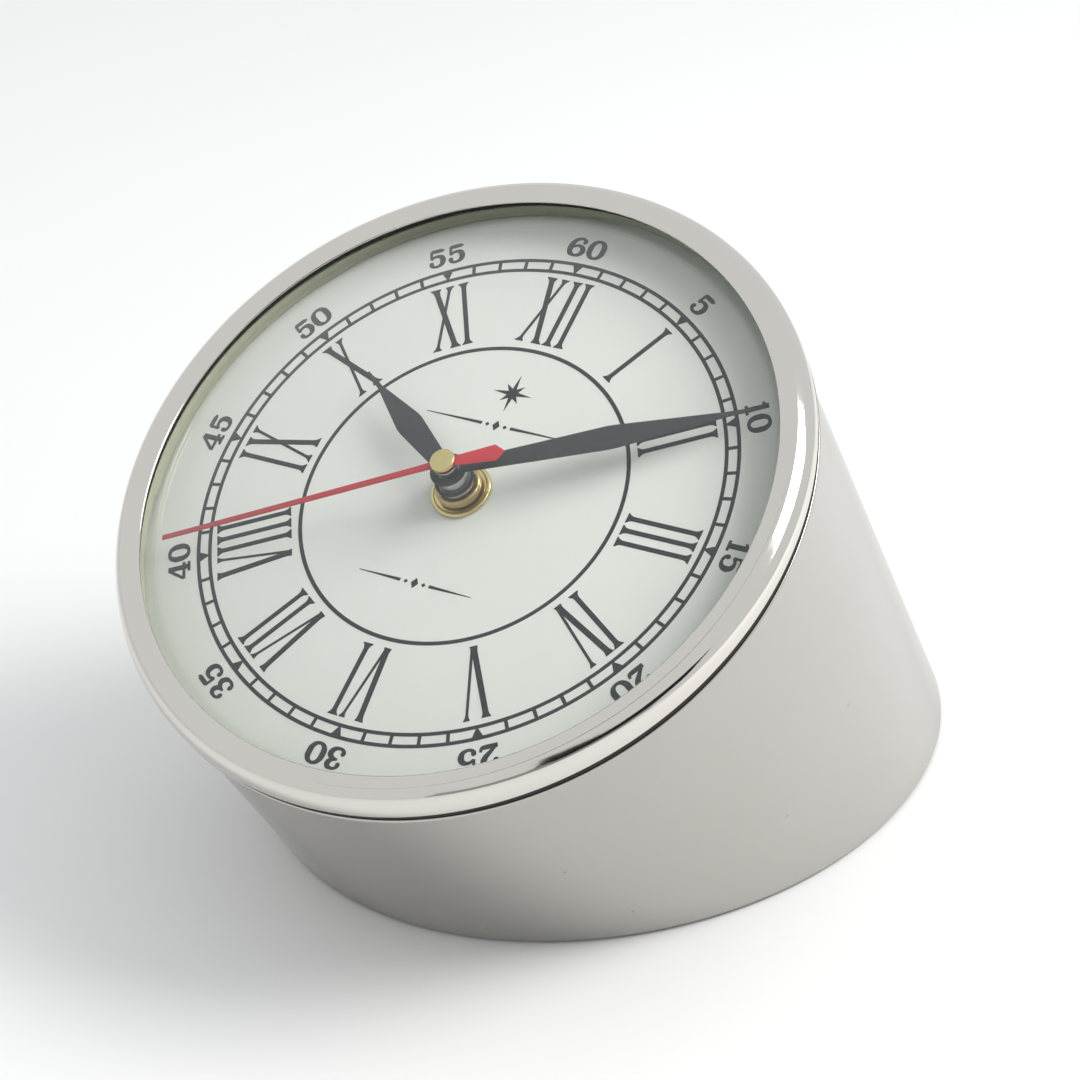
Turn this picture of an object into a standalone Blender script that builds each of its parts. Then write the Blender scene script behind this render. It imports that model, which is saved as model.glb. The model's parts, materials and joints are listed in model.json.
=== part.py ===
"""Mantel clock with a tilted face.

A nickel-plated drum stands on a slanted cut, so that its dial leans back towards 12 o'clock.
A turned bezel with a domed glass closes the front, and a battery movement hangs behind the dial.

World frame: metres, +Z up, the clock faces -Y, and the origin is at the middle of the
bounding box's underside. Most pieces are drawn in the dial frame instead: its origin is the
centre of the dial's front face, +X points to 3 o'clock, +Y to 12 o'clock and +Z out of the dial.
All sizes below are in millimetres, and place() turns them into metres.
"""
import math

import bmesh
import bpy
from mathutils import Matrix, Vector

MM = 0.001
GAP = 0.3                          # clearance between neighbouring pieces
LONG = 400.0                       # longer than any piece: blanks and cutting tools
OVERLAP = 0.1                      # parts of one piece run this far into each other
SHARP_EDGE = math.radians(32.0)    # steeper edges stay crisp when shaded
THROUGH = (-30.0, 30.0)            # reach of a tool that cuts all the way through

# --- facets around turned pieces -----------------------------------------------------------------
PIN_STEPS = 12
SHAFT_STEPS = 16
ROUND_STEPS = 20
PIPE_STEPS = 24
CAP_STEPS = 28
WASHER_STEPS = 32
HAND_HOLE_STEPS = 40
RING_STEPS = 48
BEZEL_STEPS = 60
DRUM_STEPS = 72

# --- drum and bezel -------------------------------------------------------------------------------
TILT = math.radians(33.0)          # the dial's plane leans this far back from level
DRUM_R = 73.8
DRUM_WALL = 1.2
DRUM_TOP = 1.4                     # drum's upper edge, above the dial's front face
DRUM_RIM = ((74.9, 0.6), (74.9, 1.1), (74.7, DRUM_TOP))            # rolled outwards
AXIS_TO_FOOT = 103.0               # dial face to the table, along the drum's axis
DRUM_FOOT = 0.8                    # the metal edge stands this high, on the felt
BEZEL_IN = 71.1                    # bore that holds the dial, spacer and glass
BEZEL_LIP_Z = 7.0                  # underside of the bezel's inner lip
BEZEL_FOOT_Z = 3.0                 # the bezel ends here, above the dark ring
TENON_R = DRUM_R - DRUM_WALL - GAP
TENON_END = -7.0
RING_R = BEZEL_IN - GAP            # outer radius of what sits in the bezel
SPACER_BORE = 69.9
GASKET_BORE = 69.3
SEAL_R = 74.6                      # dark ring in the gap between the bezel and the drum

# --- glass ------------------------------------------------------------------------------------------
GLASS_EDGE = (4.0, 5.0)            # lower and upper face of the glass's flat rim
GLASS_RIM_R = 69.2                 # where the flat rim turns into the dome
GLASS_RISE = 14.0
GLASS_RINGS = 5
GLASS_INNER_INSET = 0.5            # the dome's inner rim is this much narrower

# --- dial and the hardware on its axis: turned outlines are (radius, height) points ------------------
DIAL_T = 0.8
SNAP_RING = (69.3, 1.0)            # bore and thickness
SNAP_RING_GAP = ((-6.0, 6.0), (-80.0, -60.0), (-5.0, 5.0))
BUSH_R = 3.6
BUSH_BORE = 2.7
BUSHING = (
    (BUSH_BORE, 3.3), (3.3, 3.3), (BUSH_R, 3.0), (BUSH_R, -3.6), (5.0, -3.6), (5.0, -4.1),
    (BUSH_BORE, -4.1))
RUBBER_WASHER = (BUSH_R + GAP, 9.0, -1.8, -1.1)                    # bore, radius, low, high
BRASS_WASHER = (
    (BUSH_R + GAP, 0.3), (BUSH_R + GAP, 0.8), (5.6, 0.8), (5.9, 1.0), (6.3, 1.0), (6.5, 0.8),
    (6.5, 0.3))
CENTER_NUT = ((BUSH_R + GAP, 1.3), (BUSH_R + GAP, 3.0), (4.6, 3.0), (4.9, 2.7), (4.9, 1.3))
HOUR_PIPE = (1.6, 2.4)             # bore and outer radius
MINUTE_PIPE = (0.8, 1.3)
HOUR_COLLET = ((2.7, 7.1), (3.2, 7.1), (3.2, 4.1), (3.9, 4.1), (3.9, 3.6), (2.7, 3.6))
MINUTE_COLLET = ((1.6, 9.3), (2.0, 9.3), (2.0, 7.6), (3.0, 7.6), (3.0, 7.4), (1.6, 7.4))
SECOND_SOCKET = (1.6, 2.5, 9.6, 10.2)                              # bore, radius, low, high
SECOND_CAP = (
    (0.0, 11.9), (0.2, 12.0), (2.45, 12.0), (2.65, 11.8), (2.65, 11.15), (1.3, 11.15),
    (1.3, 9.6), (0.8, 9.6), (0.8, 11.0), (0.0, 11.0))

# --- hands: clockwise angle from 12 o'clock, length, height at the hub and at the tip ---------------
# The outline is (distance from the axis, half width); the tail lies on the hub's other side.
HAND_T = 0.35
HOUR_HAND = {
    "angle": 302.2, "length": 38.0, "hub_z": 4.4, "tip_z": 3.6, "hub_r": 4.2, "bore_r": 3.5,
    "outline": ((0.0, 1.3), (18.6, 2.85), (20.2, 2.8), (32.5, 0.55), (38.0, 0.3)), "tail": ()}
MINUTE_HAND = {
    "angle": 60.6, "length": 62.3, "hub_z": 7.9, "tip_z": 3.4, "hub_r": 3.9, "bore_r": 2.3,
    "outline": ((0.0, 1.3), (32.8, 2.85), (34.4, 2.8), (57.3, 0.55), (62.3, 0.35)), "tail": ()}
SECOND_HAND = {
    "angle": 243.5, "length": 64.4, "hub_z": 10.5, "tip_z": 4.2, "hub_r": 2.3, "bore_r": 1.6,
    "outline": ((0.0, 0.95), (6.0, 0.72), (64.4, 0.55)), "tail": ((-12.9, 0.0), (-11.0, 1.9))}

# --- movement case ------------------------------------------------------------------------------------
CASE_X = 28.0
CASE_Y = (-32.0, 24.0)
CASE_Z = (-18.1, -2.1)
CASE_WALL = 1.2
ROOM_X = CASE_X - CASE_WALL        # half width inside
BAY_TOP = -15.0                    # upper face of the wall over the battery
BUSH_HOLE_Z = (-6.0, 0.0)
POST_ROOT = 0.5                    # posts run this far into the front wall
PLATE_POSTS = ((-11.2, -2.4), (13.3, 1.5), (-11.2, 11.8), (13.3, 11.8))
PLATE_POST = (1.2, -9.2)           # radius and free end
THIRD_POST = (1.6, -6.9)
THIRD_PIVOT_Z = (-8.0, -5.4)       # blind hole in the third post
MINUTE_POST = (0.45, -7.6)
KNOB_BOSS = (1.5, 2.4, -5.0)       # bore, radius and free end
COIL_POST = (1.7, -10.6)
COIL_SCREW_HOLE_Z = (-12.0, -8.4)
PLATE_X = (-12.5, 14.8)
PLATE_Y = (-4.0, 13.0)
PLATE_Z = (-10.3, -9.5)
PLATE_THIRD_R = 1.7                # the third pinion passes the plate here
PLATE_ROTOR_R = 0.7
COVER_BOSS_R = 1.3
COVER_BOSS_Z = (CASE_Z[0] + 0.6, -16.0)
COVER_PIVOT_Z = (-16.8, -15.0)
KNOB_HOLE_R = 1.5

# --- motor --------------------------------------------------------------------------------------------
COIL_AXIS = (18.0, -11.3)          # y and z of the coil's axis, which runs along X
COIL_X = (-17.5, 4.5)
COIL_FLANGES = (-17.4, 4.4, 3.5, 0.4)                              # two x, radius, half thickness
BOBBIN_HALF = (1.7, 1.4)           # half width and half height
BOBBIN_WAY_HALF = (1.0, 0.7)       # the core's way through it
WINDING = (2.5, 3.2, -10.3, 10.3)  # bore, radius, low, high
WINDING_X = -6.5
CORE_X = (-23.0, 10.2)
CORE_HALF = (0.7, 0.4)
CORE_LAND_HALF = 1.9               # the core's screw lands: half length along X
STATOR_SCREWS_X = (-21.0, 8.2)
SCREW_HOLE_R = 1.0
STATOR_Z = (-12.6, -12.0)
STATOR_BORE_R = 3.0
STATOR_OUTLINE = (
    (-23.0, 11.8), (6.8, 11.8), (6.8, 5.6), (15.2, 5.6), (15.2, 13.9), (10.2, 13.9),
    (10.2, 19.8), (6.2, 19.8), (6.2, 14.0), (-19.0, 14.0), (-19.0, 19.8), (-23.0, 19.8))
STATOR_SCREW = (
    (0.0, -9.0), (0.7, -9.0), (0.7, -12.9), (1.5, -12.9), (1.5, -13.6), (0.0, -13.6))

# --- electrics ----------------------------------------------------------------------------------------
CIRCUIT_BOARD = ((-25.5, -10.0), (-14.0, -5.5), (-9.4, -8.6))
CHIP = ((0.0, -9.7), (2.0, -9.7), (1.6, -10.1), (0.9, -10.35), (0.0, -10.4))
CHIP_AT = (-14.5, -9.0, 0.0)
CRYSTAL = (
    (0.0, 3.0), (0.7, 3.0), (1.0, 2.7), (1.0, -2.7), (1.15, -2.7), (1.15, -3.0), (0.0, -3.0))
CRYSTAL_AT = (-20.5, -11.5, -10.9)
BATTERY_R = 7.0
BATTERY = (
    (0.0, 25.2), (2.6, 25.2), (2.6, 24.2), (6.6, 24.2), (BATTERY_R, 23.8), (BATTERY_R, -23.8),
    (6.6, -24.2), (0.0, -24.2))
BATTERY_YZ = (-23.5, -10.6)
CONTACT_HALF = (4.5, 5.0)          # half width and half height of a contact
CONTACT_X = (25.7, -25.9)          # faces of the plus and the minus contact
SPRING_CONE = ((0.0, 1.5), (1.6, 1.5), (3.6, -0.2), (0.0, -0.2))

# --- gears: teeth and module; the axes are worked out from the centre distances ----------------------
SECONDS_TO_THIRD = (6, 45, 0.36)
THIRD_TO_CENTER = (6, 48, 0.34)
INTER_TO_SECONDS = (6, 36, 0.40)
ROTOR_TO_INTER = (6, 30, 0.40)
CANNON_TO_MINUTE = (10, 30, 0.375)
MINUTE_TO_HOUR = (8, 32, 0.375)
KNOB_TO_MINUTE = (15, 30, 0.375)
KNOB_GRIP = (18, 0.6)
ADDENDUM = 0.85                    # tooth tip and root, in modules from the pitch circle
DEDENDUM = 1.25
TIP_SHARE = 0.11                   # half of a tooth's width at tip and root, as shares of the pitch
ROOT_SHARE = 0.29
THIRD_DIRECTION = math.radians(150.0)
INTER_DIRECTION = math.radians(60.0)
ROTOR_DIRECTION = math.radians(20.0)
MINUTE_DIRECTION = math.radians(-20.0)
KNOB_DIRECTION = math.radians(-50.0)

# --- heights of wheels, pinions and arbors (low, high) -------------------------------------------------
ARBOR_R = 0.5
SECONDS_WHEEL_Z = (-13.4, -12.6)
SECONDS_PINION_Z = (-12.7, -10.6)
SECONDS_ARBOR_Z = (-16.5, 10.7)
THIRD_WHEEL_Z = (-11.4, -10.6)
THIRD_PINION_Z = (-10.7, -8.1)
THIRD_ARBOR_Z = (-16.5, -6.0)
CENTER_WHEEL_Z = (-9.0, -8.3)
CENTER_BORE = 1.6
CLUTCH_SPRING = (1.6, 3.2, -8.0, -7.7)                             # bore, radius, low, high
INTER_WHEEL_Z = (-15.4, -14.6)
INTER_PINION_Z = (-14.7, -12.2)
INTER_ARBOR_Z = (-16.5, -9.7)
ROTOR_PINION_Z = (-15.9, -13.5)
ROTOR_ARBOR_R = 0.4
MAGNET = (2.5, -13.6, -10.9)       # radius, low, high
CANNON_PIPE_Z = (-8.9, 9.1)
CANNON_LEAVES_Z = (-7.4, -6.0)
MINUTE_WHEEL_Z = (-7.3, -6.2)
MINUTE_PINION_Z = (-6.3, -4.2)
MINUTE_WHEEL_BORE = 0.75
HOUR_WHEEL_Z = (-5.4, -4.4)
HOUR_PIPE_Z = (-5.3, 6.8)
KNOB_PINION_Z = (-7.2, -6.3)
KNOB_SHAFT = (1.2, -19.0, -4.0)    # radius, low, high
KNOB_GRIP_Z = (-22.0, -18.6)

# --- foot: heights are above the table -------------------------------------------------------------------
FELT_Z = (0.0, 1.8)
FELT_INSET = 0.5
BOARD_Z = (2.1, 8.1)
LUG_Z = (8.4, 10.4)
LUG_TALL = 24.0
LUG_REACH = 14.0                   # from the drum's wall inwards
LUG_LEAF = 2.0                     # thickness of the upright leaf
LUG_HALF_ANGLE = 5.5
LUG_CORNER = (40.0, 7.0, 20.0)     # tool that opens the bracket: bore, half angle, extra height
HAND_HOLE_R = 36.0
HAND_HOLE_SHIFT = -24.0            # towards the front, below the battery
SCREW_PLACES = (45.0, 135.0, 225.0, 315.0)
SCREW_INSET = 9.0                  # from the drum's inner side to a screw
SCREW_WAY_R = 1.8
SCREW_HEAD_WAY_R = 3.6
BASE_SCREW = (
    (0.0, 13.5), (1.1, 13.2), (1.5, 12.6), (1.5, 1.8), (3.2, 1.8), (3.2, 1.2), (2.4, 0.5),
    (0.0, 0.5))


def centre_distance(pair):
    """Distance between the axes of two meshed gears."""
    return (pair[0] + pair[1]) * pair[2] / 2


def polar(radius, angle, start=(0.0, 0.0)):
    """Point at a radius and angle from start."""
    return (start[0] + radius * math.cos(angle), start[1] + radius * math.sin(angle))


THIRD_AT = polar(centre_distance(SECONDS_TO_THIRD), THIRD_DIRECTION)
INTER_AT = polar(centre_distance(INTER_TO_SECONDS), INTER_DIRECTION)
ROTOR_AT = polar(centre_distance(ROTOR_TO_INTER), ROTOR_DIRECTION, INTER_AT)
MINUTE_AT = polar(centre_distance(CANNON_TO_MINUTE), MINUTE_DIRECTION)
KNOB_AT = polar(centre_distance(KNOB_TO_MINUTE), KNOB_DIRECTION, MINUTE_AT)

BEZEL_PROFILE = (
    (68.7, BEZEL_LIP_Z), (68.35, 7.4), (68.35, 7.75), (68.7, 8.0),          # inner lip
    (71.4, 8.55), (71.8, 8.8), (72.2, 8.7),                                 # band and ridge
    (73.6, 7.7), (74.6, 6.2), (75.0, 4.6), (75.0, 3.4), (74.7, BEZEL_FOOT_Z),   # rounded flank
    (TENON_R, BEZEL_FOOT_Z), (TENON_R, TENON_END),                          # tenon in the drum
    (BEZEL_IN, TENON_END), (BEZEL_IN, BEZEL_LIP_Z),
)

# The dial centre stands over the foot so that the bounding box is centred on the origin.
_FRONT = max(r * math.cos(TILT) + z * math.sin(TILT) for r, z in BEZEL_PROFILE)
_BACK = DRUM_R / math.cos(TILT) - DRUM_FOOT * math.tan(TILT) + AXIS_TO_FOOT * math.sin(TILT)
DIAL_CENTRE = ((_FRONT - _BACK) / 2, AXIS_TO_FOOT * math.cos(TILT))      # world y and z

MATERIALS = {
    "nickel": ((0.80, 0.79, 0.77), 0.18, 1.0),
    "glass": ((0.92, 0.96, 0.94), 0.02, 0.0),
    "dial_enamel": ((0.80, 0.84, 0.80), 0.45, 0.0),
    "spacer_paint": ((0.42, 0.44, 0.36), 0.50, 0.0),
    "black_rubber": ((0.03, 0.03, 0.03), 0.75, 0.0),
    "brass": ((0.78, 0.66, 0.33), 0.28, 1.0),
    "steel": ((0.55, 0.55, 0.54), 0.30, 1.0),
    "hand_charcoal": ((0.07, 0.07, 0.08), 0.50, 0.0),
    "hand_red": ((0.72, 0.05, 0.07), 0.40, 0.0),
    "black_plastic": ((0.04, 0.04, 0.045), 0.50, 0.0),
    "white_plastic": ((0.85, 0.84, 0.80), 0.45, 0.0),
    "magnet": ((0.16, 0.15, 0.15), 0.60, 0.0),
    "copper": ((0.72, 0.33, 0.16), 0.35, 1.0),
    "board_green": ((0.05, 0.26, 0.12), 0.50, 0.0),
    "battery_jacket": ((0.10, 0.14, 0.22), 0.40, 0.0),
    "fibreboard": ((0.36, 0.26, 0.17), 0.80, 0.0),
    "felt": ((0.05, 0.12, 0.08), 0.95, 0.0),
}


# --- scene helpers ------------------------------------------------------------------------------
def clear_scene():
    """Remove every object."""
    for thing in list(bpy.data.objects):
        bpy.data.objects.remove(thing, do_unlink=True)


def material(slot):
    """The Principled material of a finish, made once."""
    found = bpy.data.materials.get(slot)
    if found:
        return found
    colour, roughness, metallic = MATERIALS[slot]
    made = bpy.data.materials.new(slot)
    made.use_nodes = True
    shader = made.node_tree.nodes["Principled BSDF"]
    shader.inputs["Base Color"].default_value = (*colour, 1.0)
    shader.inputs["Roughness"].default_value = roughness
    shader.inputs["Metallic"].default_value = metallic
    return made


def make_empty(name, location, tilt):
    """An empty that carries a frame; location is in millimetres."""
    empty = bpy.data.objects.new(name, None)
    bpy.context.collection.objects.link(empty)
    empty.location = Vector(location) * MM
    empty.rotation_euler = (tilt, 0.0, 0.0)
    empty.empty_display_size = 0.02
    return empty


def to_object(name, bm):
    """Turn a bmesh in millimetres into an unplaced object."""
    bmesh.ops.recalc_face_normals(bm, faces=bm.faces)
    mesh = bpy.data.meshes.new(name)
    bm.to_mesh(mesh)
    bm.free()
    thing = bpy.data.objects.new(name, mesh)
    bpy.context.collection.objects.link(thing)
    return thing


def apply_booleans(thing, operation, tools):
    """Unite or cut a piece with its tools, then remove the tools."""
    for tool in tools:
        step = thing.modifiers.new(tool.name, "BOOLEAN")
        step.operation = operation
        step.solver = "EXACT"
        step.object = tool
    bpy.context.view_layer.update()
    evaluated = thing.evaluated_get(bpy.context.evaluated_depsgraph_get())
    result = bpy.data.meshes.new_from_object(evaluated)
    thing.modifiers.clear()
    thing.data = result
    for tool in tools:
        bpy.data.objects.remove(tool, do_unlink=True)
    return thing


def unite(thing, *tools):
    """Join tools to a piece."""
    return apply_booleans(thing, "UNION", tools)


def cut(thing, *tools):
    """Take tools away from a piece."""
    return apply_booleans(thing, "DIFFERENCE", tools)


def place(thing, slot, parent, at=(0.0, 0.0, 0.0)):
    """Scale a piece to metres, give it its material and hang it in its frame."""
    mesh = thing.data
    mesh.transform(Matrix.Scale(MM, 4))
    mesh.materials.clear()
    mesh.materials.append(material(slot))
    mesh.shade_smooth()
    mesh.set_sharp_from_angle(angle=SHARP_EDGE)
    mesh.name = thing.name
    thing.parent = parent
    thing.location = Vector(at) * MM
    return thing


# --- shape helpers (millimetres) -----------------------------------------------------------------
def spun(profile, steps):
    """Bmesh turned about +Z from a closed outline of (radius, height) points."""
    bm = bmesh.new()
    verts = [bm.verts.new((r, 0.0, z)) for r, z in profile]
    on_axis = [abs(r) < 1e-9 for r, _ in profile]
    edges = []
    for i, vert in enumerate(verts):
        j = (i + 1) % len(verts)
        if not (on_axis[i] and on_axis[j]):
            edges.append(bm.edges.new((vert, verts[j])))
    bmesh.ops.spin(bm, geom=verts + edges, axis=(0, 0, 1), cent=(0, 0, 0), steps=steps,
                   angle=2 * math.pi, use_merge=True)
    bmesh.ops.remove_doubles(bm, verts=bm.verts, dist=1e-4)
    return bm


def turned(name, profile, steps=ROUND_STEPS):
    """Closed solid turned about +Z from a closed outline of (radius, height) points."""
    return to_object(name, spun(profile, steps))


def tube(name, inner, outer, low, high, steps=ROUND_STEPS):
    """Pipe about +Z."""
    return turned(name, ((outer, high), (outer, low), (inner, low), (inner, high)), steps)


def rod(name, radius, low, high, steps=PIN_STEPS):
    """Round bar about +Z."""
    return turned(name, ((0.0, high), (radius, high), (radius, low), (0.0, low)), steps)


def moved(thing, x=0.0, y=0.0, z=0.0):
    """Shift a piece's mesh in its own frame."""
    thing.data.transform(Matrix.Translation((x, y, z)))
    return thing


def along_x(thing):
    """Lay a piece drawn along +Z down along +X."""
    thing.data.transform(Matrix.Rotation(math.pi / 2, 4, "Y"))
    return thing


def slab(name, x, y, z):
    """Box between two corners given as (low, high) along each axis."""
    bm = bmesh.new()
    bmesh.ops.create_cube(bm, size=1.0)
    for vert in bm.verts:
        vert.co.x = x[vert.co.x > 0]
        vert.co.y = y[vert.co.y > 0]
        vert.co.z = z[vert.co.z > 0]
    return to_object(name, bm)


def extruded(outline, low, high):
    """Bmesh of a flat outline of (x, y) points, raised from low to high."""
    bm = bmesh.new()
    face = bm.faces.new([bm.verts.new((x, y, low)) for x, y in outline])
    grown = bmesh.ops.extrude_face_region(bm, geom=[face])
    top = [item for item in grown["geom"] if isinstance(item, bmesh.types.BMVert)]
    bmesh.ops.translate(bm, verts=top, vec=(0, 0, high - low))
    return bm


def plate(name, outline, low, high):
    """Solid between two heights over a flat outline."""
    return to_object(name, extruded(outline, low, high))


def gear_outline(teeth, module, phase=0.0):
    """Trapezoid teeth with generous backlash; one tooth is centred on the angle phase."""
    pitch_radius = teeth * module / 2
    tip, root = pitch_radius + ADDENDUM * module, pitch_radius - DEDENDUM * module
    corners = ((root, -ROOT_SHARE), (tip, -TIP_SHARE), (tip, TIP_SHARE), (root, ROOT_SHARE))
    pitch = 2 * math.pi / teeth
    points = []
    for tooth in range(teeth):
        middle = phase + tooth * pitch
        for radius, share in corners:
            points.append(polar(radius, middle + share * pitch))
    return points


def gear(name, teeth, module, height, phase=0.0):
    """Spur gear between the (low, high) of height."""
    return plate(name, gear_outline(teeth, module, phase), *height)


def meshing_phase(driver, driver_phase, follower, direction):
    """Phase at which the follower's gap faces the driver's tooth along direction."""
    driver_pitch = 2 * math.pi / driver
    follower_pitch = 2 * math.pi / follower
    lag = ((direction - driver_phase) / driver_pitch) % 1.0
    return direction + math.pi + (lag + 0.5) * follower_pitch


def above_foot(height):
    """Point and normal, in the dial frame, of the level plane at a world height."""
    point = Vector((0.0, 0.0, (height - DIAL_CENTRE[1]) / math.cos(TILT)))
    normal = Vector((0.0, math.sin(TILT), math.cos(TILT)))
    return point, normal


def slice_level(bm, height, keep_above):
    """Cut a bmesh in the dial frame with a level plane, and return the open rim's edges."""
    point, normal = above_foot(height)
    sliced = bmesh.ops.bisect_plane(
        bm, geom=list(bm.verts) + list(bm.edges) + list(bm.faces), dist=1e-6,
        plane_co=point, plane_no=normal, clear_inner=keep_above, clear_outer=not keep_above)
    return [item for item in sliced["geom_cut"] if isinstance(item, bmesh.types.BMEdge)]


def keep_between(bm, low, high):
    """Keep what lies between two level planes, and close both cuts."""
    for height, keep_above in ((low, True), (high, False)):
        rim = slice_level(bm, height, keep_above)
        bmesh.ops.holes_fill(bm, edges=rim, sides=0)


def slanted_disc(name, radius, low, high):
    """Solid that follows the drum's axis between two level planes."""
    bm = bmesh.new()
    bmesh.ops.create_cone(bm, cap_ends=True, segments=DRUM_STEPS, radius1=radius,
                          radius2=radius, depth=LONG)
    keep_between(bm, low, high)
    return to_object(name, bm)


def sector(name, inner, outer, middle, half_angle, low, high):
    """Block of a ring about the drum's axis, between two level planes."""
    steps = 4
    angles = [math.radians(middle - half_angle + 2 * half_angle * i / steps)
              for i in range(steps + 1)]
    outline = [polar(outer, a) for a in angles] + [polar(inner, a) for a in reversed(angles)]
    bm = extruded(outline, -LONG / 2, LONG / 2)
    keep_between(bm, low, high)
    return to_object(name, bm)


# --- drum, bezel, glass and dial ------------------------------------------------------------------
def build_drum(frame):
    """Thin tube about the dial's axis with a rolled rim, cut level at the foot."""
    inside = DRUM_R - DRUM_WALL
    bm = spun(((DRUM_R, -LONG / 2), (DRUM_R, 0.0), *DRUM_RIM, (inside, DRUM_TOP),
               (inside, -LONG / 2)), DRUM_STEPS)
    rim = slice_level(bm, DRUM_FOOT, keep_above=True)
    bmesh.ops.bridge_loops(bm, edges=rim)
    place(to_object("drum_body", bm), "nickel", frame)


def build_bezel(frame):
    """Bezel with the rings that it clamps and the dark ring in its shadow gap."""
    place(turned("bezel_ring", BEZEL_PROFILE, BEZEL_STEPS), "nickel", frame)
    rings = (
        ("bezel_seal", "black_rubber", TENON_R + GAP, SEAL_R, DRUM_TOP + GAP, BEZEL_FOOT_Z - GAP),
        ("glass_gasket", "black_rubber", GASKET_BORE, RING_R, GLASS_EDGE[1] + GAP,
         BEZEL_LIP_Z - GAP),
        ("dial_spacer_ring", "spacer_paint", SPACER_BORE, RING_R, GAP, GLASS_EDGE[0] - GAP))
    for name, slot, *sizes in rings:
        place(tube(name, *sizes, RING_STEPS), slot, frame)


def dome_arc(chord_radius, base_z, rise, rings):
    """Points of a spherical cap's section, from its rim up to the axis."""
    sphere = (chord_radius ** 2 + rise ** 2) / (2 * rise)
    half = math.asin(chord_radius / sphere)
    angles = [half * (rings - i) / rings for i in range(rings + 1)]
    return [(sphere * math.sin(a), base_z + rise - sphere * (1 - math.cos(a))) for a in angles]


def build_glass(frame):
    """Domed glass with a flat rim."""
    low, high = GLASS_EDGE
    outside = dome_arc(GLASS_RIM_R, high, GLASS_RISE, GLASS_RINGS)
    inside = dome_arc(GLASS_RIM_R - GLASS_INNER_INSET, low, GLASS_RISE, GLASS_RINGS)
    profile = [(RING_R, low), (RING_R, high)] + outside + inside[::-1]
    place(turned("glass_dome", profile, RING_STEPS), "glass", frame)


def build_dial(frame):
    """Dial and the split ring that holds it from behind."""
    place(tube("dial_plate", BUSH_R + GAP, RING_R, -DIAL_T, 0.0, RING_STEPS), "dial_enamel", frame)
    bore, thickness = SNAP_RING
    top = -DIAL_T - GAP
    ring = tube("dial_retaining_ring", bore, RING_R, top - thickness, top, RING_STEPS)
    place(cut(ring, slab("ring_gap", *SNAP_RING_GAP)), "steel", frame)


# --- hardware and hands -----------------------------------------------------------------------------
def build_hardware(frame):
    """Bushing, washers and nut that clamp the movement to the dial."""
    place(turned("threaded_bushing", BUSHING), "brass", frame)
    place(tube("rubber_washer", *RUBBER_WASHER, WASHER_STEPS), "black_rubber", frame)
    place(turned("brass_washer", BRASS_WASHER, WASHER_STEPS), "brass", frame)
    place(turned("center_nut", CENTER_NUT, WASHER_STEPS), "brass", frame)


def blade(name, hand):
    """Flat hand on a round hub with a bore, falling evenly from the hub to the tip."""
    side = [(half, y) for y, half in hand["tail"] + hand["outline"]]
    outline = side + [(-x, y) for x, y in reversed(side) if x > 0]
    piece = plate(name, outline, 0.0, HAND_T)
    hub = rod("hub", hand["hub_r"], 0.0, HAND_T + 0.001, CAP_STEPS)
    piece = cut(unite(piece, hub), rod("bore", hand["bore_r"], *THROUGH, ROUND_STEPS))
    fall = (hand["tip_z"] - hand["hub_z"]) / (hand["length"] - hand["hub_r"])
    for vert in piece.data.vertices:
        vert.co.z += hand["hub_z"] + fall * max(0.0, vert.co.y - hand["hub_r"])
    piece.data.transform(Matrix.Rotation(-math.radians(hand["angle"]), 4, "Z"))
    return piece


def build_hands(frame):
    """The three hands, their collets and the cap over the axis."""
    place(blade("hour_hand", HOUR_HAND), "hand_charcoal", frame)
    place(turned("hour_hand_collet", HOUR_COLLET), "steel", frame)
    place(blade("minute_hand", MINUTE_HAND), "hand_charcoal", frame)
    place(turned("minute_hand_collet", MINUTE_COLLET), "steel", frame)
    place(blade("second_hand", SECOND_HAND), "hand_red", frame)
    place(tube("second_hand_socket", *SECOND_SOCKET), "steel", frame)
    place(turned("second_hand_cap", SECOND_CAP, CAP_STEPS), "brass", frame)


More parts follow.
